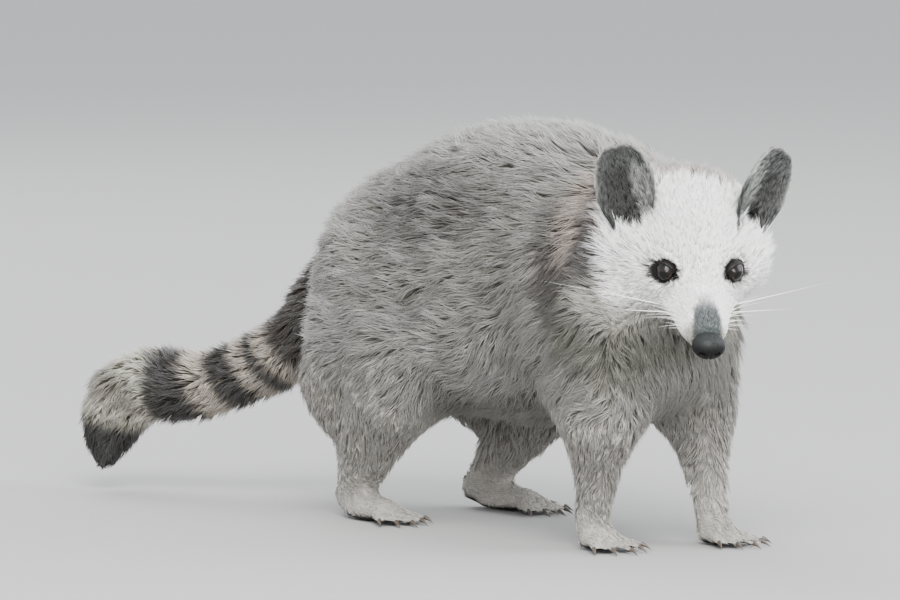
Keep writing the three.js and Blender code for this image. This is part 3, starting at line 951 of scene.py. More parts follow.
    def shrink(self) -> None:
        """Takes the coat's depth off the outline, a little at a time so that nothing folds."""
        step = (self.lies["depth"] / self.shrink_steps * MM)[:, None]
        firm = (self.regions == Region.PAW.value) * 0.85
        firm[self.regions == Region.EAR.value] = 1.0
        soft = ramp(self.lies["depth"], 4.5, 9.0)[:, None]
        for _ in range(self.shrink_steps):
            self.net.points -= unit(self.net.spread(self.net.normals(), 3)) * step
            self.net.smooth(1, hold=firm)
            moved = self.net.spread(self.net.points, 3)
            self.net.points += (moved - self.net.points) * soft

    def shape_face(self) -> None:
        """Sinks the skin behind the eyes and the nose, and draws in the mouth."""
        points = self.net.points
        for middle in self.eyes.values():
            away = points - middle
            gap = np.linalg.norm(away, axis=1, keepdims=True)
            floor = (self.eye_radius - 1.6) * MM
            sunk = middle + away / gap * floor
            near = ramp(gap / MM, self.eye_radius + 5.5, self.eye_radius + 1.5)
            points += (sunk - points) * near
        forward, left, up = HEAD.local(points).T
        line = -31.5 - 0.012 * left**2 + 0.05 * np.minimum(forward - 40.0, 0.0)
        groove = ramp(np.abs(up - line), 2.6, 0.4) * ramp(forward, 4.0, 12.0)
        points -= self.net.normals() * (groove * 1.5 * MM)[:, None]
        np.maximum(points[:, 2], 0.6 * MM, out=points[:, 2])

    def read_comb(self) -> np.ndarray:
        """Lays the coat's direction on the skin: back from the nose, down the legs, out along the tail.

        Returns:
            A direction along the skin at each point.
        """
        points = self.net.points
        normals = self.net.normals()
        down = np.array([0.0, 0.0, -1.0])
        flow = np.tile(np.array([0.0, 1.0, -0.2]), (len(points), 1))
        forward, left, up = HEAD.local(points).T

        def lay(region: Region, direction: np.ndarray) -> None:
            chosen = self.regions == region.value
            flow[chosen] = np.broadcast_to(direction, flow.shape)[chosen]

        lay(Region.NECK, np.array([0.22, 1.0, -0.45]))
        body = self.within(Region.NECK, Region.TRUNK)
        front = ramp(-normals[:, 1], 0.15, 0.7) * body
        flow += front[:, None] * (down * 1.8)
        droop = (ramp(up, 4.0, -34.0) * ramp(forward, 24.0, -16.0))[:, None]
        outward = droop * HEAD.left * (0.7 * np.sign(left))[:, None]
        head_flow = -HEAD.forward - droop * (1.1 * HEAD.up) + outward
        under = ramp(up, -14.0, -44.0) * ramp(forward, -96.0, -50.0)
        flow += (under * body)[:, None] * down * 1.4
        for region in (Region.HEAD, Region.JAW, Region.EYE, Region.NOSE):
            lay(region, head_flow)
        for middle in self.eyes.values():
            away = points - middle
            near = ramp(np.linalg.norm(away, axis=1) / MM, 20.0, 13.0)[:, None]
            flow += unit(away) * near * 2.2
        lay(Region.UPPER_LEG, np.array([0.0, 0.62, -0.85]))
        lay(Region.LOWER_LEG, np.array([0.0, 0.2, -1.0]))
        lay(Region.PAW, np.array([0.0, -1.0, -0.35]))
        lay(Region.TAIL, self.tail.directions[self.tail.nearest(points)])
        for side, frame in EARS.items():
            chosen = (self.regions == Region.EAR.value) & (left * SIDES[side] > 0)
            flow[chosen] = frame.up
        flow = unit(flow - normals * dots(flow, normals)[:, None])
        flow = self.net.spread(flow, self.comb_rounds)
        scaled = (self.outline / (self.wave_size * MM)).tolist()
        wave = np.array([noise.noise(place) for place in scaled]) * ramp(self.lies["length"], 9.0, 20.0)
        flow += np.cross(normals, flow) * (wave * self.wave)[:, None]
        return unit(flow - normals * dots(flow, normals)[:, None])


# ---- Markings --------------------------------------------------------------------------------------


@dataclass(frozen=True)
class Band:
    """The colours of one kind of hair from its root to its tip."""

    root: tuple[int, int, int]
    middle: tuple[int, int, int]
    tip: tuple[int, int, int]

    def rows(self) -> np.ndarray:
        """Gives the three colours in light's own scale."""
        return np.array([linear(*self.root), linear(*self.middle), linear(*self.tip)])


class Fur(Enum):
    """The kinds of hair in the coat."""

    GRIZZLED = Band((84, 80, 72), (106, 102, 94), (166, 163, 157))
    SILVER = Band((98, 95, 89), (126, 124, 119), (180, 179, 176))
    SHADED = Band((40, 35, 31), (50, 45, 40), (80, 74, 68))
    RUST_GREY = Band((34, 28, 22), (44, 37, 30), (66, 58, 49))
    TAN = Band((104, 94, 86), (142, 131, 122), (192, 180, 170))
    # Painted shade: the dark of the crease where the cheek ruff overhangs the neck.
    BAND = Band((30, 25, 22), (40, 34, 30), (62, 55, 49))
    # Painted shade: a darkened grey-brown for the underside of the body and the throat, where the animal
    # shades itself.
    THROAT = Band((58, 57, 48), (76, 75, 65), (114, 114, 102))
    CHEST = Band((80, 77, 70), (108, 105, 97), (176, 173, 166))
    LEG = Band((94, 90, 83), (134, 130, 123), (188, 185, 179))
    FOOT = Band((114, 110, 103), (148, 144, 137), (188, 186, 180))
    WHITE = Band((234, 231, 228), (247, 246, 244), (254, 254, 253))
    CREAM = Band((124, 120, 107), (160, 157, 145), (200, 198, 188))
    CROWN = Band((100, 86, 77), (142, 129, 120), (190, 181, 174))
    BRIDGE = Band((50, 55, 55), (64, 70, 70), (84, 91, 91))
    RIM = Band((8, 7, 6), (14, 12, 11), (24, 20, 18))
    EAR_BACK = Band((22, 23, 22), (36, 38, 37), (80, 82, 79))
    EAR_EDGE = Band((104, 104, 100), (150, 150, 145), (192, 192, 187))
    # Partly the ear's dark inner skin, partly painted shade deep in the hollow.
    EAR_HOLLOW = Band((6, 6, 4), (10, 10, 7), (24, 24, 18))
    EAR_TUFT = Band((46, 47, 44), (84, 86, 81), (160, 162, 158))
    TAIL_LIGHT = Band((120, 111, 99), (150, 141, 128), (196, 187, 174))
    TAIL_CREAM = Band((128, 124, 110), (160, 156, 142), (204, 202, 190))
    TAIL_DARK = Band((20, 17, 14), (28, 24, 20), (42, 37, 32))
    TAIL_TIP = Band((16, 15, 13), (26, 24, 22), (40, 38, 35))


@dataclass
class Markings:
    """Where each kind of hair grows. Lengths are in millimetres."""

    skin: Skin
    rings: tuple[tuple[float, float], ...] = ((-60.0, 131.0), (145.0, 158.0), (170.0, 197.0), (218.0, 251.0))
    ring_slant: float = 0.25
    ring_edge: float = 2.6
    tip_start: float = 308.0
    lead: float = 0.6
    tear: tuple[float, float] = (11.0, -3.4)
    head_middle: tuple[float, float, float] = (-30.0, 0.0, -5.0)
    colours: np.ndarray = field(init=False)
    places: np.ndarray = field(init=False)

    def __post_init__(self) -> None:
        """Finds where the hairs of each point of the skin are seen, which is nearer their tips."""
        reach = self.skin.lies["length"] * self.lead * MM
        self.places = self.skin.outline + self.skin.comb * reach[:, None]

    def lay(self, fur: Fur, share: np.ndarray) -> None:
        """Blends a kind of hair over what is there.

        Args:
            fur: The kind of hair.
            share: How much of it each point has, 0 to 1.
        """
        self.colours += (fur.value.rows()[None] - self.colours) * np.clip(share, 0, 1)[:, None, None]

    def patches(self, size: float, seed: float) -> np.ndarray:
        """Gives a smooth random number for each point of the skin, about 0 to 1.

        Args:
            size: How far apart the patches are.
            seed: Which pattern to use.

        Returns:
            The numbers.
        """
        scaled = self.skin.outline / (size * MM) + seed
        return np.array([0.5 + 0.5 * noise.noise(place) for place in scaled.tolist()])

    def paint(self) -> np.ndarray:
        """Colours the whole coat.

        Returns:
            For each point of the skin, the colours of a hair's root, middle and tip.
        """
        self.colours = np.tile(Fur.GRIZZLED.value.rows(), (len(self.skin.outline), 1, 1))
        self.paint_body()
        self.paint_legs()
        self.paint_tail()
        self.paint_head()
        self.paint_ears()
        return self.colours

    def paint_body(self) -> None:
        """Marks the back, flanks, rump, neck and chest, and paints shade under the belly."""
        forward, _, up = LAYOUT.local(self.places).T
        normals = self.skin.net.normals()
        blotch = self.patches(46.0, 3.7)
        streak = self.patches(15.0, 9.1)
        self.lay(Fur.SILVER, 0.85 * ramp(up, 256.0, 296.0))
        self.lay(Fur.SILVER, 0.5 * ramp(up, 190.0, 120.0) * ramp(blotch, 0.3, 0.6))
        reach = np.hypot((forward + 40.0 + 20.0 * (blotch - 0.5)) / 62.0, (up - 248.0) / 27.0)
        self.lay(Fur.SHADED, 0.85 * ramp(reach, 1.45, 0.75))
        self.lay(Fur.SHADED, 0.45 * ramp(streak, 0.55, 0.75))
        self.lay(Fur.SILVER, 0.45 * ramp(streak, 0.45, 0.25))
        back_edge = ramp(normals[:, 1], 0.4, 0.75) * ramp(forward, -110.0, -150.0)
        self.lay(Fur.RUST_GREY, 0.9 * back_edge)
        # Painted shade under the body where the skin faces down, over the belly's own brownish grey.
        belly = ramp(-normals[:, 2], 0.35, 0.85) * ramp(up, 150.0, 110.0)
        self.lay(Fur.THROAT, 0.8 * belly)
        self.paint_neck()

    def paint_neck(self) -> None:
        """Marks the tan patch behind the ear, the darker neck round it, the painted shade in the crease
        beside the cheek ruff, the painted shadow under the throat and the chest.
        """
        forward, left, up = HEAD.local(self.places).T
        ahead, _, height = LAYOUT.local(self.places).T
        ragged = (self.patches(14.0, 31.0) - 0.5) * 9.0
        far = self.out_of_head() + ragged
        neck = ramp(ahead, 60.0, 92.0) * ramp(np.abs(left), 10.0, 30.0)
        self.lay(Fur.CHEST, 0.85 * ramp(ahead, 70.0, 112.0) * ramp(height, 185.0, 150.0))
        dark = neck * ramp(far, 134.0, 122.0) * ramp(height, 262.0, 240.0) * ramp(height, 138.0, 170.0)
        self.lay(Fur.SHADED, 0.85 * dark)
        tan = neck * ramp(far, 86.0, 93.0) * ramp(far, 116.0, 106.0) * ramp(height, 205.0, 226.0)
        self.lay(Fur.TAN, 0.95 * tan)
        # Painted shade in the crease just behind the cheek ruff.
        ruff_shade = neck * ramp(far, 76.0, 80.0) * ramp(far, 96.0, 88.0) * ramp(height, 186.0, 204.0)
        self.lay(Fur.BAND, 0.95 * ruff_shade)
        cream = ramp(ahead, 80.0, 112.0) * ramp(far, 112.0, 96.0)
        cream = cream * ramp(height, 205.0, 190.0) * ramp(height, 140.0, 160.0)
        self.lay(Fur.CREAM, 0.85 * cream)
        # Painted shadow under the chin, on the throat.
        shadow = ramp(up, -44.0, -52.0) * ramp(forward, -50.0, -20.0) * ramp(up, -92.0, -74.0)
        self.lay(Fur.THROAT, 0.85 * shadow * ramp(ahead, 90.0, 120.0) * ramp(height, 96.0, 120.0))

    def paint_legs(self) -> None:
        """Makes the legs paler towards the feet."""
        _, _, up = LAYOUT.local(self.places).T
        legs = self.skin.within(Region.UPPER_LEG, Region.LOWER_LEG, Region.PAW)
        soft = self.skin.net.spread(legs.astype(float), 24)
        self.lay(Fur.LEG, soft * ramp(up, 135.0, 78.0))
        self.lay(Fur.FOOT, soft * ramp(up, 60.0, 28.0))
        pads = ramp(-self.skin.net.normals()[:, 2], 0.3, 0.75) * ramp(up, 11.0, 6.0)
        self.lay(Fur.RIM, pads)

    def paint_tail(self) -> None:
        """Marks the rings, the dark tip and the painted shade over the tail's bend."""
        tail = self.skin.net.spread((self.skin.regions == Region.TAIL.value).astype(float), 12)
        bands = self.tail_bands(self.along_tail(self.places) + (self.patches(12.0, 5.5) - 0.5) * 5.0)
        self.colours += (bands - self.colours) * np.clip(tail, 0.0, 1.0)[:, None, None]

    def along_tail(self, points: np.ndarray) -> np.ndarray:
        """Gives how far along the tail each point lies, on rings that lean towards the tip at the top."""
        line = self.skin.tail
        near = line.nearest(points)
        height = (points[:, 2] - line.points[near, 2]) / MM
        along = line.along[near] + dots(points - line.points[near], line.directions[near]) / MM
        return along - self.ring_slant * np.clip(height, -30.0, 30.0)

    def tail_bands(self, along: np.ndarray) -> np.ndarray:
        """Gives the colours of the tail's hairs.

        Args:
            along: How far along the tail each hair is seen.

        Returns:
            For each, the colours of its root, middle and tip.
        """
        bands = np.tile(Fur.TAIL_LIGHT.value.rows(), (len(along), 1, 1))

        def lay(fur: Fur, share: np.ndarray) -> None:
            bands[:] += (fur.value.rows()[None] - bands) * share[:, None, None]

        lay(Fur.TAIL_CREAM, ramp(along, 240.0, 258.0))
        # Painted shade over the bend where the tail turns down.
        lay(Fur.SHADED, 0.6 * ramp(along, 268.0, 280.0) * ramp(along, 300.0, 288.0))
        for number, (start, end) in enumerate(self.rings):
            ring = ramp(along, start - self.ring_edge, start + self.ring_edge)
            ring = ring * ramp(along, end + self.ring_edge, end - self.ring_edge)
            lay(Fur.RUST_GREY if number == 0 else Fur.TAIL_DARK, ring)
        lay(Fur.TAIL_TIP, ramp(along, self.tip_start - 5.0, self.tip_start + 7.0))
        return bands

    def paint_head(self) -> None:
        """Marks the pale face, the crown, the painted shade under the chin, the grey bridge of the nose and
        the dark rims of the eyes.
        """
        skin = self.skin
        forward, left, up = HEAD.local(self.places).T
        head = skin.within(Region.HEAD, Region.JAW, Region.EYE, Region.NOSE)
        head = np.maximum(head, ramp(forward, -64.0, -56.0) * ramp(up, -60.0, -40.0)).astype(float)
        self.lay(Fur.CROWN, skin.net.spread(head, 6) * ramp(forward, -84.0, -70.0) * ramp(up, -5.0, 12.0))
        edge = (self.patches(9.0, 21.0) - 0.5) * 8.0
        face = ramp(self.out_of_head() + edge, 82.0, 71.0)
        face = face * ramp(up + edge - 0.1 * np.abs(left) + 0.1 * np.maximum(forward, 0.0), -46.0, -38.0)
        crown_line = ramp(forward + edge + 0.45 * (up - 20.0), -60.0, -44.0)
        between = ramp(np.abs(left), 40.0, 30.0) * ramp(up, 6.0, 14.0)
        self.lay(Fur.WHITE, head * face * (1.0 - between * (1.0 - crown_line)))
        # Painted shade under the chin: the white face is darkened to chest grey where the muzzle shades it.
        chin = head * ramp(up, -29.0, -36.0) * ramp(forward, -20.0, 0.0)
        self.lay(Fur.CHEST, 0.6 * chin)
        narrow = 5.0 + 6.6 * ramp(forward, 22.0, 46.0)
        bridge = ramp(np.abs(left), narrow + 2.2, narrow - 1.6)
        bridge = bridge * ramp(forward, 22.0, 40.0) * ramp(up, -24.0, -16.0)
        self.lay(Fur.BRIDGE, head * bridge)
        self.lay(Fur.RIM, ramp(self.nose_gap(), 3.2, 0.8))
        for side, middle in skin.eyes.items():
            self.paint_eye(SIDES[side], middle)

    def out_of_head(self) -> np.ndarray:
        """Gives how far each place lies from the middle of the head, in millimetres."""
        return np.linalg.norm(HEAD.local(self.places) - np.array(self.head_middle), axis=1)

    def nose_gap(self) -> np.ndarray:
        """Gives how far each point lies outside the nose pad, in millimetres."""
        return (pad_reach(self.skin.outline) - 1.0) * PAD_SIZE[0]

    def paint_eye(self, side: float, middle: np.ndarray) -> None:
        """Marks an eye's dark rim, its tear line and the pale line round it.

        Args:
            side: Minus one on the right, one on the left.
            middle: The eye's middle.
        """
        forward, left, up = (HEAD.local(self.skin.net.points) - HEAD.local(middle[None])).T
        outward = left * side
        rim = np.sqrt(forward**2 + (outward / 1.2) ** 2 + (up * np.where(up > 0.0, 1.12, 1.0)) ** 2)
        share = np.clip((outward + 6.0) / (6.0 - self.tear[0]), 0.0, 1.0)
        tear = np.hypot(outward + 6.0 + share * (self.tear[0] - 6.0), up - self.tear[1] * share)
        tear = np.hypot(tear, np.maximum(forward - 7.0, 0.0))
        self.lay(Fur.RIM, np.maximum(ramp(rim, 11.9, 10.5), ramp(tear, 5.2, 3.4)))

    def paint_ears(self) -> None:
        """Marks the slate backs, pale edges, the dark hollows, partly dark skin and partly painted shade, and
        the pale tufts inside.
        """
        skin = self.skin
        ears = skin.regions == Region.EAR.value
        normals = skin.net.normals()
        for side, frame in EARS.items():
            _, left, up = frame.local(skin.outline).T
            mine = (ears & (HEAD.local(skin.outline)[:, 1] * SIDES[side] > 0)).astype(float)
            face = dots(normals, np.broadcast_to(frame.forward, normals.shape))
            rise = up / EAR_HEIGHT
            outward = left * SIDES[side] / (EAR_WIDTH * 0.5)
            inside = np.maximum(mine * ramp(face, -0.2, 0.2), skin.before_ear(side))
            self.lay(Fur.EAR_BACK, mine)
            # The dark hollow is partly the ear's dark skin and partly painted shade where the cup is deepest.
            hollow = np.hypot((outward - 0.18) / 0.62, (rise - 0.1) / 0.52)
            self.lay(Fur.EAR_HOLLOW, inside * ramp(hollow, 1.15, 0.7))
            tuft = np.hypot((outward + 0.5) / 0.42, (rise - 0.22) / 0.42)
            self.lay(Fur.EAR_TUFT, 0.85 * inside * ramp(tuft, 1.1, 0.6))
            shape = 0.2 + 0.8 * np.sqrt(np.clip(1.0 - np.clip(rise, 0.0, 1.0) ** 2.6, 0.0, 1.0))
            rim = np.maximum(ramp(np.abs(outward) / shape, 0.89, 0.98), ramp(rise, 0.9, 0.98))
            self.lay(Fur.EAR_EDGE, 0.75 * mine * rim * ramp(rise, 0.1, 0.35))


# ---- The coat --------------------------------------------------------------------------------------


class Patch(Enum):
    """The pieces that the coat is made in, each with its share of the strands."""

    FACE = "coat_face"
    CHEEKS = "coat_cheeks"
    EARS = "coat_ears"
    NECK_RIGHT = "coat_neck_right"
    NECK_LEFT = "coat_neck_left"
    SHOULDER_RIGHT = "coat_shoulder_right"
    SHOULDER_LEFT = "coat_shoulder_left"
    FLANK_RIGHT = "coat_flank_right"
    FLANK_LEFT = "coat_flank_left"
    RUMP_RIGHT = "coat_rump_right"
    RUMP_LEFT = "coat_rump_left"
    LEGS_FORE = "coat_legs_fore"
    LEGS_HIND = "coat_legs_hind"
    PAWS = "coat_paws"
    TAIL = "coat_tail"


@dataclass
class Roots:
    """Where strands grow from: places on the skin and what the skin says there."""

    places: np.ndarray
    faces: np.ndarray
    weights: np.ndarray
    corners: np.ndarray

    def read(self, values: np.ndarray) -> np.ndarray:
        """Reads a field of the skin at each root."""
        picked = values[self.corners]
        return np.einsum("nc,nc...->n...", self.weights, picked)


@dataclass
class Coat:
    """Solid tufts over the whole skin, gathered in clumps that follow the coat's lie.

    Args:
        skin: The skin they grow from.
        markings: Where each kind of hair grows, painted.
    """

    skin: Skin
    markings: Markings
    per_clump: float = 9.0
    guide_steps: int = 5
    rings: tuple[float, ...] = (0.0, 0.5, 1.0)
    stray_share: float = 0.08
    frizz: float = 0.07
    ear_fluff: float = 1.2
    hollow_flatness: float = 0.88
    least_depth: float = 0.6
    guide_lift: float = 1.5
    patch_size: float = 0.003
    limit: int = 195000
    chance: np.random.Generator = field(default_factory=lambda: np.random.default_rng(SEED))

    def build(self, material: bpy.types.Material) -> None:
        """Grows the coat and adds its pieces."""
        net = self.skin.net
        tree = self.skin.tree
        combs = unit(self.skin.comb[net.faces].mean(axis=1))
        normals = unit(net.face_normals())
        depth = self.measure_depth()
        density = self.read_density()
        clumps = self.scatter(density / self.per_clump, even=True)
        guides = self.grow_guides(clumps, tree, combs, normals, depth)
        roots = self.scatter(density)
        owner = self.nearest_clump(roots, clumps)
        patches = self.sort_patches(roots)
        for patch in Patch:
            mine = np.flatnonzero(patches == patch.value)
            self.add_patch(patch, roots, mine, owner, guides, material)

    def measure_depth(self) -> np.ndarray:
        """Gives how far the outline stands off the skin at each of its points, in metres."""
        gap = dots(self.skin.outline - self.skin.net.points, self.skin.net.normals())
        gap += (self.skin.regions == Region.EAR.value) * self.ear_fluff * MM
        for side in SIDES:
            gap *= 1.0 - self.hollow_flatness * self.skin.before_ear(side)
        return self.skin.net.spread(np.maximum(gap, self.least_depth * MM), 4)

    def read_density(self) -> np.ndarray:
        """Gives the strands on each square millimetre, with none under the feet, eyes and nose."""
        points = self.skin.net.points
        normals = self.skin.net.normals()
        density = self.skin.lies["density"].copy()
        density *= 1.0 - ramp(-normals[:, 2], 0.35, 0.7) * ramp(points[:, 2] / MM, 14.0, 8.0)
        density *= ramp(self.skin.eye_gap(points), self.skin.eye_radius + 2.0, self.skin.eye_radius + 4.0)
        return density * ramp(pad_reach(points), 1.0, 1.15)

    def scatter(self, density: np.ndarray, even: bool = False) -> Roots:
        """Places roots over the skin.

        Args:
            density: How many for each square millimetre, at each point of the skin.
            even: Whether the roots keep their distance from each other.

        Returns:
            The roots.
        """
        net = self.skin.net
        corners = net.faces
        area = np.linalg.norm(net.face_normals(), axis=1) * 0.5 / MM**2
        share = area * density[corners].mean(axis=1)
        total = np.cumsum(share)
        count = int(round(total[-1]))
        if even:
            picks = (np.arange(count) + self.chance.random(count)) / count * total[-1]
        else:
            picks = self.chance.random(count) * total[-1]
        faces = np.minimum(np.searchsorted(total, picks), len(share) - 1)
        first, second = self.chance.random((2, count))
        root = np.sqrt(first)
        weights = np.stack([1.0 - root, root * (1.0 - second), root * second], axis=1)
        places = np.einsum("nc,nci->ni", weights, net.points[corners[faces]])
        return Roots(places, faces, weights, corners[faces])

    def grow_guides(
        self, clumps: Roots, tree: BVHTree, combs: np.ndarray, normals: np.ndarray, depth: np.ndarray
    ) -> np.ndarray:
        """Walks each clump's line over the skin, rising to the outline at its tip.

        Args:
            clumps: The clumps' roots.
            tree: Finds the skin's nearest face.
            combs: The coat's direction on each face.
            normals: Each face's normal.
            depth: The coat's depth at each point.

        Returns:
            For each clump, the points of its line.
        """
        spread = self.chance.uniform(0.8, 1.15, len(clumps.faces))
        lengths = clumps.read(self.skin.lies["length"]) * MM * spread
        sway = self.chance.normal(0.0, 0.22, len(lengths))
        lifts = self.chance.uniform(0.72, 1.06, len(lengths))
        face_depth = depth[self.skin.net.faces].mean(axis=1)
        lines = np.empty((len(lengths), self.guide_steps + 1, 3))
        for number in range(len(lengths)):
            place = Vector(clumps.places[number])
            face = clumps.faces[number]
            lines[number, 0] = place
            stride = lengths[number] / self.guide_steps
            for step in range(1, self.guide_steps + 1):
                comb = combs[face]
                across = np.cross(normals[face], comb)
                above = normals[face] * self.guide_lift * MM
                place = place + Vector((comb + across * sway[number]) * stride + above)
                place, _, face, _ = tree.find_nearest(place)
                rise = (step / self.guide_steps) ** 0.85 * lifts[number] * face_depth[face]
                lines[number, step] = np.array(place) + normals[face] * rise
        return lines

    def nearest_clump(self, roots: Roots, clumps: Roots) -> np.ndarray:
        """Finds the clump that each strand belongs to."""
        tree = KDTree(len(clumps.places))
        for number, place in enumerate(clumps.places.tolist()):
            tree.insert(place, number)
        tree.balance()
        return np.array([tree.find(place)[1] for place in roots.places.tolist()])

    def sort_patches(self, roots: Roots) -> np.ndarray:
        """Gives the name of the piece that each strand goes to."""
        region = self.skin.regions[roots.corners[:, 0]]
        forward, left, _ = LAYOUT.local(roots.places).T
        ahead = HEAD.local(roots.places)[:, 0]
        right = left < 0

        def split(chosen: np.ndarray, on_right: Patch, on_left: Patch) -> None:
            names[chosen & right] = on_right.value
            names[chosen & ~right] = on_left.value

        names = np.full(len(region), Patch.FLANK_RIGHT.value, dtype=object)
        split(forward > -400.0, Patch.FLANK_RIGHT, Patch.FLANK_LEFT)
        split(forward > 44.0, Patch.SHOULDER_RIGHT, Patch.SHOULDER_LEFT)
        split(forward < -70.0, Patch.RUMP_RIGHT, Patch.RUMP_LEFT)
        split(region == Region.NECK.value, Patch.NECK_RIGHT, Patch.NECK_LEFT)
        names[(region == Region.LOWER_LEG.value) & (forward > 0)] = Patch.LEGS_FORE.value
        names[(region == Region.LOWER_LEG.value) & (forward < 0)] = Patch.LEGS_HIND.value
        names[region == Region.PAW.value] = Patch.PAWS.value
        names[region == Region.TAIL.value] = Patch.TAIL.value
        names[region == Region.EAR.value] = Patch.EARS.value
        head = (region <= Region.JAW.value) | (region >= Region.NOSE.value)
        names[head] = np.where(ahead[head] > -16.0, Patch.FACE.value, Patch.CHEEKS.value)
        return names

    def add_patch(
        self,
        patch: Patch,
        roots: Roots,
        mine: np.ndarray,
        owner: np.ndarray,
        guides: np.ndarray,
        material: bpy.types.Material,
    ) -> None:
        """Makes one piece of the coat.

        Args:
            patch: Which piece.
            roots: All roots.
            mine: The numbers of the roots that this piece has.
            owner: The clump of each root.
            guides: The clumps' lines.
            material: The coat's finish.
        """
        own = Roots(roots.places[mine], roots.faces[mine], roots.weights[mine], roots.corners[mine])
        rings = np.array(self.rings)
        each = 6 * (len(rings) - 2) + 4
        if len(mine) * each > self.limit:
            LOG.warning("%s: %d strands, cut to %d", patch.value, len(mine), self.limit // each)
            keep = self.chance.permutation(len(mine))[: self.limit // each]
            own = Roots(own.places[keep], own.faces[keep], own.weights[keep], own.corners[keep])
            mine = mine[keep]
        paths, sides = self.strand_lines(own, owner[mine], guides, rings)
        points, faces = self.strand_shapes(own, paths, sides, rings)
        mesh = new_mesh(patch.value, points, faces)
        set_colours(mesh, "coat", self.strand_colours(self.bands_of(patch, own, paths), rings))
        self.unwrap(mesh, patch, own, rings)
        new_piece(patch.value, mesh, material)

    def strand_lines(
        self, own: Roots, owner: np.ndarray, guides: np.ndarray, rings: np.ndarray
    ) -> tuple[np.ndarray, np.ndarray]:
        """Draws each strand beside its clump's line and draws it in towards the clump's tip.

        Args:
            own: The strands' roots.
            owner: Their clumps.
            guides: The clumps' lines.
            rings: Where along each strand its points lie.

        Returns:
            The strands' points and the direction across each.
        """
        count = len(owner)
        stray = self.chance.random(count) < self.stray_share
        reach = self.chance.uniform(0.68, 1.0, count) + stray * 0.12
        share = np.clip(rings[None, :] * reach[:, None], 0.0, 1.0) * (guides.shape[1] - 1)
        low = np.minimum(share.astype(int), guides.shape[1] - 2)
        blend = (share - low)[..., None]
        lines = guides[owner]
        rows = np.arange(count)[:, None]
        along = lines[rows, low] * (1.0 - blend) + lines[rows, low + 1] * blend
        spread = self.chance.uniform(0.75, 1.1, count)
        clump = own.read(self.skin.lies["clump"]) * spread * (1.0 - 0.7 * stray)
        draw = (clump[:, None] * (rings[None, :] * reach[:, None]) ** 1.2)[..., None]
        offset = own.places - lines[:, 0]
        paths = along + offset[:, None, :] * (1.0 - draw)
        normals = own.read(self.skin.net.normals())
        lengths = np.linalg.norm(lines[:, -1] - lines[:, 0], axis=1)
        tangent = unit(lines[:, -1] - lines[:, 0])
        across = unit(np.cross(tangent, normals))
        curl = (rings[None, :] ** 2) * lengths[:, None]
        paths += across[:, None, :] * (self.chance.normal(0, self.frizz, (count, 1)) * curl)[..., None]
        paths += normals[:, None, :] * (self.chance.normal(0, self.frizz * 0.6, (count, 1)) * curl)[..., None]
        paths[:, 0] = own.places - normals * 0.5 * MM
        np.maximum(paths[..., 2], 0.7 * MM, out=paths[..., 2])
        return paths, across

    def strand_shapes(
        self, own: Roots, paths: np.ndarray, sides: np.ndarray, rings: np.ndarray
    ) -> tuple[np.ndarray, np.ndarray]:
        """Gives each strand a solid, three-sided, tapering body.

        Args:
            own: The strands' roots.
            paths: Their points.
            sides: The direction across each.
            rings: Where along each strand its points lie.

        Returns:
            Points and triangles.
        """
        count, levels = paths.shape[:2]
        width = own.read(self.skin.lies["width"]) * self.chance.uniform(0.7, 1.3, count) * MM
        taper = np.interp(rings, (0.0, 0.36, 0.7, 1.0), (0.8, 1.0, 0.85, 0.0))
        tangent = unit(np.gradient(paths, axis=1))
        lift = unit(np.cross(np.broadcast_to(sides[:, None, :], tangent.shape), tangent))
        half = (width[:, None] * taper[None, :] * 0.5)[..., None]
        left = paths - sides[:, None, :] * half
        right = paths + sides[:, None, :] * half
        ridge = paths + lift * half * 0.9
        body = np.stack([left, right, ridge], axis=2)[:, :-1].reshape(count, -1, 3)
        points = np.concatenate([body, paths[:, -1:]], axis=1)
        rows = [(0, 1, 2)]
        for level in range(levels - 2):
            a = level * 3
            for side in range(3):
                b = a + (side + 1) % 3
                rows += [(a + side, a + side + 3, b + 3), (a + side, b + 3, b)]
        last, tip = (levels - 2) * 3, (levels - 1) * 3
        rows += [(last + side, tip, last + (side + 1) % 3) for side in range(3)]
        pattern = np.array(rows)
        start = np.arange(count)[:, None, None] * points.shape[1]
        faces = (pattern[None] + start).reshape(-1, 3)
        return self.facing_out(points.reshape(-1, 3), faces, len(pattern))

    @staticmethod
    def facing_out(points: np.ndarray, faces: np.ndarray, each: int) -> tuple[np.ndarray, np.ndarray]:
        """Turns round the strands whose triangles face inwards.

        Args:
            points: All points.
            faces: All triangles.
            each: How many triangles a strand has.

        Returns:
            The points and the triangles.
        """
        a, b, c = (points[faces[:, corner]] for corner in range(3))
        first = np.repeat(points[faces[::each, 0]], each, axis=0)
        volume = dots(a - first, np.cross(b - first, c - first)).reshape(-1, each).sum(axis=1)
        wrong = np.repeat(volume < 0, each)
        faces[wrong] = faces[wrong][:, ::-1]
        return points, faces

    def bands_of(self, patch: Patch, own: Roots, paths: np.ndarray) -> np.ndarray:
        """Gives each strand's colours at its root, middle and tip.

        Args:
            patch: Which piece it is in.
            own: The strands' roots.
            paths: Their points.

        Returns:
            Three colours for each strand.
        """
        if patch is not Patch.TAIL:
            return own.read(self.markings.colours)
        places = [paths[:, 0], paths[:, paths.shape[1] // 2], paths[:, -1]]
        jitter = self.chance.normal(0.0, 1.2, len(paths))
        rows = [self.markings.tail_bands(self.markings.along_tail(place) + jitter) for place in places]
        return np.stack([row[:, level] for level, row in enumerate(rows)], axis=1)

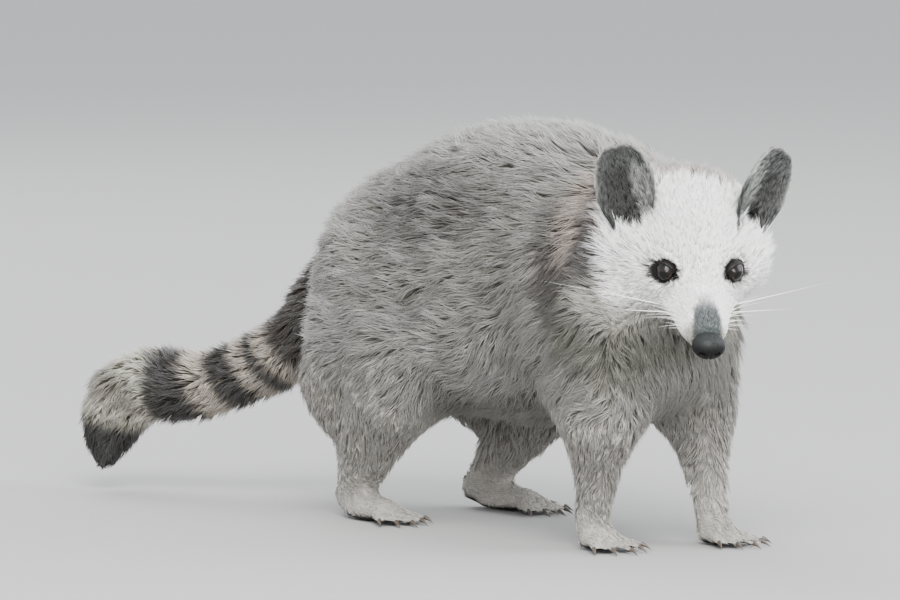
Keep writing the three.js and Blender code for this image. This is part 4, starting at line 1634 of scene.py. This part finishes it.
    def strand_colours(self, bands: np.ndarray, rings: np.ndarray) -> np.ndarray:
        """Colours each strand from root to tip, some paler and some darker than others.

        Args:
            bands: Each strand's colours at its root, middle and tip.
            rings: Where along each strand its points lie.

        Returns:
            A colour for each point of the strands.
        """
        count = len(bands)
        shade = np.exp(self.chance.normal(0.0, 0.13, (count, 1, 1)))
        shade = np.where(bands.mean(axis=(1, 2), keepdims=True) > 0.6, 1.0 - 0.3 * np.abs(shade - 1.0), shade)
        knots = np.array([0.0, 0.45, 1.0])
        rows = []
        for ring in rings:
            low = 0 if ring < knots[1] else 1
            part = (ring - knots[low]) / (knots[low + 1] - knots[low])
            rows.append(bands[:, low] * (1.0 - part) + bands[:, low + 1] * part)
        levels = np.stack(rows, axis=1) * shade
        body = np.repeat(levels[:, :-1], 3, axis=1)
        return np.clip(np.concatenate([body, levels[:, -1:]], axis=1), 0.0, 1.0).reshape(-1, 3)

    def unwrap(self, mesh: bpy.types.Mesh, patch: Patch, own: Roots, rings: np.ndarray) -> None:
        """Gives each strand a small place of its own at its root on the unrolled skin.

        Args:
            mesh: The piece's mesh.
            patch: Which piece it is.
            own: The strands' roots.
            rings: Where along each strand its points lie.
        """
        middle = self.unrolled(patch, own.places)
        levels = (rings - 0.5) * self.patch_size
        sides = np.array([-0.5, 0.5, 0.0]) * self.patch_size
        body = np.stack([np.tile(sides, len(rings) - 1), np.repeat(levels[:-1], 3)], axis=1)
        shape = np.concatenate([body, [[0.0, levels[-1]]]])
        spots = (middle[:, None, :] + shape[None]).reshape(-1, 2)
        corners = np.empty(len(mesh.loops), dtype=np.int32)
        mesh.loops.foreach_get("vertex_index", corners)
        layer = mesh.uv_layers.new(name="OFBake")
        layer.data.foreach_set("uv", spots[corners].astype(np.float32).ravel())

    def unrolled(self, patch: Patch, places: np.ndarray) -> np.ndarray:
        """Unrolls the part of the skin that a piece covers.

        Args:
            patch: Which piece it is.
            places: Points on the skin.

        Returns:
            Each point's place on the unrolled skin, 0.01 to 0.99 both ways.
        """
        forward, left, up = LAYOUT.local(places).T
        if patch is Patch.TAIL:
            line = self.skin.tail
            near = line.nearest(places)
            away = places - line.points[near]
            angle = np.arctan2(away[:, 2], away[:, 0])
            spots = np.stack([angle, line.along[near]], axis=1)
        elif patch in (Patch.FACE, Patch.CHEEKS, Patch.EARS):
            ahead, aside, above = HEAD.local(places).T
            angle = np.arctan2(above, aside)
            spots = np.stack([angle, ahead - 0.3 * np.hypot(above, aside)], axis=1)
        elif patch in (Patch.LEGS_FORE, Patch.LEGS_HIND, Patch.PAWS):
            leg = (left > 0).astype(float) + 2.0 * (forward > 0)
            spots = np.stack([forward + 400.0 * leg + 0.3 * left, up + 0.2 * left], axis=1)
        else:
            spots = np.stack([np.arctan2(up - 170.0, left), forward], axis=1)
        low, high = spots.min(axis=0), spots.max(axis=0)
        return 0.01 + 0.98 * (spots - low) / np.maximum(high - low, 1e-9)


# ---- Eyes, lids and nose ---------------------------------------------------------------------------


@dataclass
class Eye:
    """A deep-set eyeball with its lids.

    Args:
        side: Which eye.
        middle: The eyeball's middle.
        skin: The skin that the lids join.
    """

    side: str
    middle: np.ndarray
    skin: Skin
    radius: float = 8.2
    cornea: float = 0.7
    half_width: float = 10.2
    half_height: float = 7.7
    slant: float = 14.0
    rim: float = 1.0
    back_turn: float = 1.9
    frame: Frame = field(init=False)

    def __post_init__(self) -> None:
        """Aims the eye."""
        aim = Frame(self.middle, HEAD.axes)
        turn = -EYE_TURN * SIDES[self.side]
        self.frame = aim.inner((0.0, 0.0, 0.0), right=turn, down=-EYE_LIFT)

    def build(self, finish: bpy.types.Material, lid_finish: bpy.types.Material) -> None:
        """Adds the eyeball and the lids."""
        ball = self.ball()
        piece = new_piece(f"eyeball_{self.side}", ball, finish)
        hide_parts(f"eye_{self.side}")
        new_piece(f"eyelids_{self.side}", self.lids(), lid_finish)

    def ball(self) -> bpy.types.Mesh:
        """Makes the eyeball, with a clear front that bulges a little."""
        shell = bmesh.new()
        bmesh.ops.create_uvsphere(shell, u_segments=40, v_segments=28, radius=1.0)
        bmesh.ops.triangulate(shell, faces=shell.faces)
        directions = np.array([vert.co for vert in shell.verts])
        faces = np.array([[vert.index for vert in face.verts] for face in shell.faces])
        shell.free()
        ahead = directions[:, 2]
        bulge = self.radius + self.cornea * ramp(ahead, 0.72, 1.0)
        forward, left = self.frame.forward, self.frame.left
        axes = np.stack([left, np.cross(forward, left), forward], axis=1)
        points = self.middle + (directions * bulge[:, None] * MM) @ axes.T
        mesh = new_mesh(f"eyeball_{self.side}", points, faces)
        angle = np.degrees(np.arccos(np.clip(ahead, -1.0, 1.0)))
        pupil, iris, edge = linear(3, 3, 3), linear(20, 13, 10), linear(8, 6, 5)
        tall = (len(points), 1)
        colour = mix(np.tile(pupil, tall), np.tile(iris, tall), ramp(angle, 21.0, 25.0))
        colour = mix(colour, np.tile(edge, tall), ramp(angle, 40.0, 47.0))
        set_colours(mesh, "coat", colour)
        return mesh

    def opening(self, angles: np.ndarray) -> np.ndarray:
        """Gives the lids' edge, drawn to a point at the inner corner.

        Args:
            angles: Angles round the eye, 0 at its outer side and a quarter turn at its top.

        Returns:
            How far each edge point lies from the line of sight, in millimetres: outward and up.
        """
        outward = np.cos(angles) * self.half_width
        upward = np.sin(angles) * self.half_height
        inner = ramp(np.cos(angles), -0.55, -1.0)
        outward = outward - inner * 2.6
        upward = upward * (1.0 - 0.35 * inner) - inner * 1.6
        tilt = math.radians(self.slant)
        return np.stack(
            [
                outward * math.cos(tilt) - upward * math.sin(tilt) * 0.2,
                outward * math.sin(tilt) + upward * math.cos(tilt),
            ],
            axis=1,
        )

    def lids(self) -> bpy.types.Mesh:
        """Makes the lids: a rounded dark rim on the eyeball that runs back under the skin."""
        steps = 56
        angles = np.arange(steps) / steps * 2.0 * math.pi
        edge = self.opening(angles)
        size = np.linalg.norm(edge, axis=1)
        start = np.minimum(size / self.radius, 1.4)
        low = self.rim * 0.8
        profile = ((-0.07, -1.6), (-0.02, 0.1), (0.03, low), (0.1, self.rim), (0.24, low))
        rings = [self.on_ball(edge, start + turn, self.radius + high) for turn, high in profile]
        rings.append(self.on_ball(edge, np.full(steps, self.back_turn), self.radius + 0.4))
        rings.append(self.on_ball(edge, np.full(steps, self.back_turn), self.radius - 2.4))
        points = np.concatenate(rings)
        faces = []
        for ring in range(len(rings)):
            after = (ring + 1) % len(rings)
            for step in range(steps):
                beside = (step + 1) % steps
                a, b = ring * steps + step, ring * steps + beside
                c, d = after * steps + beside, after * steps + step
                faces += [(a, b, c), (a, c, d)]
        faces = np.array(faces)
        points, faces = Coat.facing_out(points, faces, len(faces))
        mesh = new_mesh(f"eyelids_{self.side}", points, faces)
        set_colours(mesh, "coat", np.tile(linear(15, 12, 11), (len(points), 1)))
        return mesh

    def on_ball(self, flat: np.ndarray, turn: np.ndarray, radius: float) -> np.ndarray:
        """Places points on a ball round the eye's middle.

        Args:
            flat: Which way each point lies from the line of sight, outward and up.
            turn: How far it is turned away from the line of sight, in radians.
            radius: The ball's radius in millimetres.

        Returns:
            The points.
        """
        side = unit(np.stack([flat[:, 0] * SIDES[self.side], flat[:, 1]], axis=1))
        aside = side * (np.sin(turn) * radius)[:, None]
        axes = np.stack([self.frame.left, self.frame.up, self.frame.forward], axis=1)
        return self.middle + np.column_stack([aside, np.cos(turn) * radius]) @ axes.T * MM


@dataclass
class NosePad:
    """The bare nose: a rounded pad with comma-shaped nostrils and a groove below."""

    deep: float = 9.6
    wide: float = 12.0
    high: float = 9.4
    nostril: tuple[float, float] = (5.3, -0.6)
    nostril_size: float = 2.3
    nostril_depth: float = 4.2

    def build(self, finish: bpy.types.Material) -> None:
        """Adds the nose."""
        shell = bmesh.new()
        bmesh.ops.create_uvsphere(shell, u_segments=96, v_segments=64, radius=1.0)
        bmesh.ops.triangulate(shell, faces=shell.faces)
        ball = np.array([vert.co for vert in shell.verts])
        faces = np.array([[vert.index for vert in face.verts] for face in shell.faces])
        shell.free()
        side, low, ahead = ball[:, 0], -ball[:, 1], ball[:, 2]
        forward = self.deep * np.sign(ahead) * np.abs(ahead) ** 0.8
        left = self.wide * side * (1.0 - 0.16 * ramp(low, 0.1, 0.9))
        up = -self.high * low
        front = ramp(ahead, 0.0, 0.35)
        pits = np.zeros(len(ball))
        for sign in (-1.0, 1.0):
            middle = np.hypot(left - sign * self.nostril[0], (up - self.nostril[1]) * 1.15)
            pits = np.maximum(pits, np.exp(-((middle / self.nostril_size) ** 4)))
            slit_up = self.nostril[1] - 1.6 - 0.1 * (np.abs(left) - self.nostril[0])
            slit = np.exp(-(((up - slit_up) / 0.8) ** 2))
            slit = slit * ramp(sign * left, self.nostril[0], self.nostril[0] + 1.0)
            pits = np.maximum(pits, 0.45 * slit * ramp(sign * left, 11.4, 9.0))
        groove = np.exp(-((left / 0.7) ** 2)) * ramp(up, 3.0, -2.0)
        forward = forward - front * (pits * self.nostril_depth + groove * 1.0)
        points = np.array([NOSE.at(*row) for row in np.stack([forward, left, up], axis=1)])
        mesh = new_mesh("nose_pad", points, faces)
        # Painted shade: the nostril pits are darkened a little more than the black pad.
        dark = ramp(pits, 0.15, 0.8)
        # Painted highlight: the pad is made paler grey towards its top, where the damp leather catches the
        # light from above.
        top = ramp(up, 2.0, 8.5)
        count = len(points)
        colour = mix(np.tile(linear(6, 6, 6), (count, 1)), np.tile(linear(26, 29, 28), (count, 1)), top)
        colour = mix(colour, np.tile(linear(4, 4, 4), (count, 1)), dark)
        set_colours(mesh, "coat", colour)
        piece = new_piece("nose_pad", mesh, finish)
        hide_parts("nose")


# ---- Claws and whiskers ----------------------------------------------------------------------------


@dataclass(frozen=True)
class Spline:
    """One line to be given a body."""

    points: np.ndarray
    width: float


@dataclass
class Sweep:
    """Gives lines a round tapering body with Geometry Nodes."""

    name: str
    sides: int
    tip: float
    power: float

    def tree(self, material: bpy.types.Material) -> bpy.types.NodeTree:
        """Builds the node tree: taper the lines, sweep a circle along them and dress the result."""
        tree = bpy.data.node_groups.new(f"{self.name}_sweep", "GeometryNodeTree")
        face = tree.interface
        face.new_socket("Lines", in_out="INPUT", socket_type="NodeSocketGeometry")
        sides = face.new_socket("Sides", in_out="INPUT", socket_type="NodeSocketInt")
        tip = face.new_socket("Tip", in_out="INPUT", socket_type="NodeSocketFloat")
        power = face.new_socket("Power", in_out="INPUT", socket_type="NodeSocketFloat")
        face.new_socket("Bodies", in_out="OUTPUT", socket_type="NodeSocketGeometry")
        self.inputs = {sides.identifier: self.sides, tip.identifier: self.tip, power.identifier: self.power}
        add, join = tree.nodes.new, tree.links.new
        given, result = add("NodeGroupInput"), add("NodeGroupOutput")
        share, radius = add("GeometryNodeSplineParameter"), add("GeometryNodeInputRadius")
        rise, span, scaled = add("ShaderNodeMath"), add("ShaderNodeMapRange"), add("ShaderNodeMath")
        rise.operation = "POWER"
        scaled.operation = "MULTIPLY"
        join(share.outputs["Factor"], rise.inputs[0])
        join(given.outputs["Power"], rise.inputs[1])
        join(rise.outputs[0], span.inputs["Value"])
        span.inputs["To Min"].default_value = 1.0
        join(given.outputs["Tip"], span.inputs["To Max"])
        join(span.outputs["Result"], scaled.inputs[0])
        join(radius.outputs[0], scaled.inputs[1])
        taper, circle = add("GeometryNodeSetCurveRadius"), add("GeometryNodeCurvePrimitiveCircle")
        sweep = add("GeometryNodeCurveToMesh")
        realise, dress = add("GeometryNodeRealizeInstances"), add("GeometryNodeSetMaterial")
        join(given.outputs["Lines"], taper.inputs["Curve"])
        join(scaled.outputs[0], taper.inputs["Radius"])
        join(given.outputs["Sides"], circle.inputs["Resolution"])
        circle.inputs["Radius"].default_value = 1.0
        join(taper.outputs["Curve"], sweep.inputs["Curve"])
        join(circle.outputs["Curve"], sweep.inputs["Profile Curve"])
        if "Scale" in sweep.inputs:
            join(scaled.outputs[0], sweep.inputs["Scale"])
        sweep.inputs["Fill Caps"].default_value = True
        join(sweep.outputs["Mesh"], realise.inputs["Geometry"])
        join(realise.outputs["Geometry"], dress.inputs["Geometry"])
        dress.inputs["Material"].default_value = material
        join(dress.outputs["Geometry"], result.inputs["Bodies"])
        return tree

    def build(
        self, splines: list[Spline], colour: np.ndarray, material: bpy.types.Material, slot: str
    ) -> None:
        """Sweeps the lines and adds the piece.

        Args:
            splines: The lines.
            colour: The colour that the piece carries.
            material: Its finish.
            slot: Not used.
        """
        curve = bpy.data.curves.new(self.name, "CURVE")
        curve.dimensions = "3D"
        for spline in splines:
            line = curve.splines.new("POLY")
            line.points.add(len(spline.points) - 1)
            rows = np.concatenate([spline.points, np.ones((len(spline.points), 1))], axis=1)
            line.points.foreach_set("co", rows.ravel())
            line.points.foreach_set("radius", np.full(len(spline.points), spline.width * MM))
        guide = bpy.data.objects.new(f"{self.name}_lines", curve)
        bpy.context.scene.collection.objects.link(guide)
        modifier = guide.modifiers.new("sweep", "NODES")
        modifier.node_group = self.tree(material)
        for socket, value in self.inputs.items():
            modifier[socket] = value
        made = guide.evaluated_get(bpy.context.evaluated_depsgraph_get())
        mesh = bpy.data.meshes.new_from_object(made)
        bpy.data.objects.remove(guide)
        mesh.name = self.name
        set_colours(mesh, "coat", np.tile(colour, (len(mesh.vertices), 1)))
        shell = bmesh.new()
        shell.from_mesh(mesh)
        bmesh.ops.remove_doubles(shell, verts=shell.verts, dist=1e-7)
        bmesh.ops.recalc_face_normals(shell, faces=shell.faces)
        shell.to_mesh(mesh)
        shell.free()
        mesh.polygons.foreach_set("use_smooth", np.full(len(mesh.polygons), True))
        new_piece(self.name, mesh, material)


@dataclass(frozen=True)
class Foot:
    """A foot's place and its toes, as the solids have them. Lengths are in millimetres."""

    name: str
    ankle: tuple[float, float]
    turn: float
    ahead: float
    palm: float
    toes: tuple[tuple[float, float, float], ...]

    def claws(self) -> list[Spline]:
        """Draws the curved line of each claw from its toe's tip."""
        side = 1.0 if self.ankle[1] > 0 else -1.0
        frame = LAYOUT.inner((self.ankle[0], self.ankle[1], 0.0), right=-self.turn * side)
        lines = []
        for out, spread, length in self.toes:
            start = (self.ahead + self.palm * 0.3 - abs(out) * 0.35, out * side, 6.4)
            toe = frame.inner(start, right=-spread * side, down=7.0)
            share = np.linspace(0.0, 1.0, 7)
            reach = length + 0.5 + 9.6 * share
            drop = 0.6 - 1.2 * share - 3.0 * share**2
            points = np.array([toe.at(ahead, 0.0, rise) for ahead, rise in zip(reach, drop)])
            np.maximum(points[:, 2], 0.5 * MM, out=points[:, 2])
            lines.append(Spline(points, 1.75))
        return lines


FORE_TOES = (
    (-14.0, -34.0, 15.0),
    (-9.0, -13.0, 21.0),
    (-1.5, -2.0, 24.0),
    (7.0, 11.0, 22.0),
    (13.0, 30.0, 17.0),
)
HIND_TOES = (
    (-14.0, -24.0, 17.0),
    (-9.0, -9.0, 22.0),
    (-1.0, 0.0, 24.0),
    (7.0, 9.0, 22.0),
    (13.0, 24.0, 16.0),
)
FEET = (
    Foot("fore_right", (119.0, -48.0), 6.0, 16.0, 17.0, FORE_TOES),
    Foot("fore_left", (150.0, 40.0), 6.0, 16.0, 17.0, FORE_TOES),
    Foot("hind_right", (-137.0, -60.0), 6.0, 34.0, 38.0, HIND_TOES),
    Foot("hind_left", (-118.0, 58.0), 6.0, 34.0, 38.0, HIND_TOES),
)


@dataclass
class Whiskers:
    """Long pale whiskers from the muzzle and the brows.

    Args:
        skin: The skin they grow from.
    """

    skin: Skin
    rows: int = 3
    each: int = 4
    width: float = 0.24
    long_width: float = 0.5
    chance: np.random.Generator = field(default_factory=lambda: np.random.default_rng(SEED + 7))

    def lines(self) -> list[Spline]:
        """Draws each whisker from its place on the muzzle, out, back and a little down."""
        tree = self.skin.tree
        lines = []
        for sign in (-1.0, 1.0):
            for row in range(self.rows):
                for number in range(self.each):
                    forward = 41.0 - 5.6 * number + self.chance.normal(0, 0.8)
                    up = -16.0 - 3.6 * row + self.chance.normal(0, 0.6)
                    start, normal, _, _ = tree.find_nearest(HEAD.at(forward, sign * 22.0, up))
                    length = (18.0 + 7.0 * number - 2.0 * row) * self.chance.uniform(0.85, 1.15)
                    out = HEAD.left * sign
                    heading = out * 1.0 - HEAD.forward * (0.25 + 0.1 * number) + HEAD.up * (0.3 - 0.22 * row)
                    lines.append(self.line(np.array(start - normal * MM), heading, length))
            lines += self.long_ones(sign, tree)
            for number in range(3):
                place = HEAD.at(8.0 - 3.0 * number, sign * (15.0 + 3.0 * number), 16.0)
                start, normal, _, _ = tree.find_nearest(place)
                heading = HEAD.left * sign * 0.45 + HEAD.up - HEAD.forward * 0.2
                lines.append(self.line(np.array(start - normal * MM), heading, 19.0 - 3.0 * number))
        return lines

    def long_ones(self, sign: float, tree: BVHTree) -> list[Spline]:
        """Draws the few longest whiskers, which arch back beside the cheek.

        Args:
            sign: Minus one on the right, one on the left.
            tree: Finds the skin's nearest face.

        Returns:
            Their lines.
        """
        lines = []
        for forward, up, length, rise in ((12.0, -30.0, 84.0, 0.0), (18.0, -33.0, 56.0, -0.2)):
            start, normal, _, _ = tree.find_nearest(HEAD.at(forward, sign * 30.0, up))
            share = np.linspace(0.0, 1.0, 12)[:, None]
            out = HEAD.left * sign - HEAD.forward * 0.35 + HEAD.up * rise
            bend = (-HEAD.up * 0.2 - HEAD.forward * 0.25) * share**2
            points = np.array(start - normal * MM) + (out * share + bend) * length * MM
            lines.append(Spline(points, self.long_width))
        return lines

    def line(self, start: np.ndarray, heading: np.ndarray, length: float) -> Spline:
        """Draws one whisker that bends under its own weight.

        Args:
            start: Its root.
            heading: The way it sets out.
            length: Its length in millimetres.

        Returns:
            The whisker's line.
        """
        share = np.linspace(0.0, 1.0, 9)[:, None]
        heading = unit(heading + self.chance.normal(0, 0.07, 3))
        sag = np.array([0.0, 0.3, -1.0]) * 0.16
        return Spline(start + (heading * share + sag * share**2) * length * MM, self.width)


# ---- The studio ------------------------------------------------------------------------------------


@dataclass
class Studio:
    """The floor, the lights and the camera."""

    aim: tuple[float, float, float] = (0.00246, 0.01016, 0.166)
    turn: float = -40.0
    rise: float = 5.0
    distance: float = 5.0
    lens: float = 262.0
    floor_half: float = 12.0

    def build(self) -> None:
        """Adds everything round the animal."""
        self.add_camera()
        self.add_floor()
        self.add_light("key", (-2.2, -2.6, 3.4), 2.6, 400.0, (1.0, 0.985, 0.96))
        self.add_light("fill", (2.8, -2.4, 2.2), 3.2, 185.0, (0.95, 0.975, 1.0))
        self.add_light("front", (-2.4, -3.9, 1.3), 1.8, 150.0, (1.0, 0.99, 0.98))
        self.add_light("back", (0.8, 3.2, 3.0), 2.6, 150.0, (1.0, 1.0, 1.0))
        world = bpy.data.worlds.new("studio")
        world.use_nodes = True
        background = world.node_tree.nodes["Background"]
        background.inputs["Color"].default_value = (0.93, 0.955, 1.0, 1.0)
        background.inputs["Strength"].default_value = 2.1
        bpy.context.scene.world = world

    def add_camera(self) -> None:
        """Stands the camera at its angle and distance."""
        turn, rise = math.radians(self.turn), math.radians(self.rise)
        back = Vector((math.sin(turn) * math.cos(rise), -math.cos(turn) * math.cos(rise), math.sin(rise)))
        lens = bpy.data.cameras.new("studio_camera")
        lens.lens = self.lens
        lens.sensor_width = 36.0
        lens.clip_end = 100.0
        camera = bpy.data.objects.new("studio_camera", lens)
        camera.location = Vector(self.aim) + back * self.distance
        camera.rotation_euler = (-back).to_track_quat("-Z", "Y").to_euler()
        bpy.context.scene.collection.objects.link(camera)
        bpy.context.scene.camera = camera

    def add_floor(self) -> None:
        """Lays the floor."""
        half = self.floor_half
        points = np.array([(-half, -half, 0.0), (half, -half, 0.0), (half, half, 0.0), (-half, half, 0.0)])
        mesh = new_mesh("floor", points, np.array([(0, 1, 2, 3)]), smooth=False)
        floor = bpy.data.objects.new("floor", mesh)
        floor.data.materials.append(FloorFinish().material())
        bpy.context.scene.collection.objects.link(floor)

    def add_light(
        self, name: str, place: tuple[float, float, float], size: float, power: float, tint: tuple[float, ...]
    ) -> None:
        """Adds a soft square light that looks at the animal.

        Args:
            name: Its name.
            place: Where it hangs.
            size: Its side in metres.
            power: Its watts.
            tint: Its colour.
        """
        light = bpy.data.lights.new(name, "AREA")
        light.shape = "SQUARE"
        light.size = size
        light.energy = power
        light.color = tint[:3]
        lamp = bpy.data.objects.new(name, light)
        lamp.location = place
        lamp.rotation_euler = (Vector(self.aim) - Vector(place)).to_track_quat("-Z", "Y").to_euler()
        bpy.context.scene.collection.objects.link(lamp)


# ---- The whole animal ------------------------------------------------------------------------------


def add_skin(skin: Skin, colours: np.ndarray, nodes: dict[str, bpy.types.Object]) -> None:
    """Adds the skin, which stands for every solid of flesh.

    Args:
        skin: The finished skin.
        colours: The hairs' colours at each of its points.
        nodes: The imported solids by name.
    """
    mesh = new_mesh("skin", skin.net.points, skin.net.faces)
    short = 0.7 + 0.3 * ramp(skin.lies["length"], 16.0, 8.0)
    set_colours(mesh, "coat", mix(colours[:, 0], colours[:, 1], short))
    piece = new_piece("skin", mesh, SkinFinish().material())
    flesh = [name for name in nodes if Region.of(name) not in (Region.EYE, Region.NOSE)]
    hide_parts(*flesh)


def main(nodes: dict[str, bpy.types.Object]) -> None:
    """Builds the animal and its studio.

    Args:
        nodes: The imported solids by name.
    """
    Studio().build()
    eyes = {side: np.array(sum(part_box(f"eye_{side}"), Vector()) * 0.5) for side in SIDES}
    skin = Skin(nodes, TailLine(), eyes)
    skin.build()
    markings = Markings(skin)
    add_skin(skin, markings.paint(), nodes)
    Coat(skin, markings).build(FurFinish("coat_hair").material())
    eye_finish, rim_finish = EyeFinish().material(), NoseFinish("eyelid_leather").material()
    for side, middle in eyes.items():
        Eye(side, middle, skin).build(eye_finish, rim_finish)
    NosePad().build(NoseFinish().material())
    claws = [line for foot in FEET for line in foot.claws()]
    Sweep("claws", 10, 0.08, 1.5).build(claws, linear(66, 58, 50), HornFinish().material(), "nose")
    hair = FurFinish("whisker_hair", roughness=0.35, sheen=0.0, vary=0.05)
    whiskers = Sweep("whiskers", 5, 0.15, 1.2)
    whiskers.build(Whiskers(skin).lines(), linear(244, 243, 238), hair.material(), "coat_white")


if __name__ == "__main__":
    logging.basicConfig(level=logging.INFO, format="%(name)s: %(message)s")
    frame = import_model()
    main(frame["nodes"])
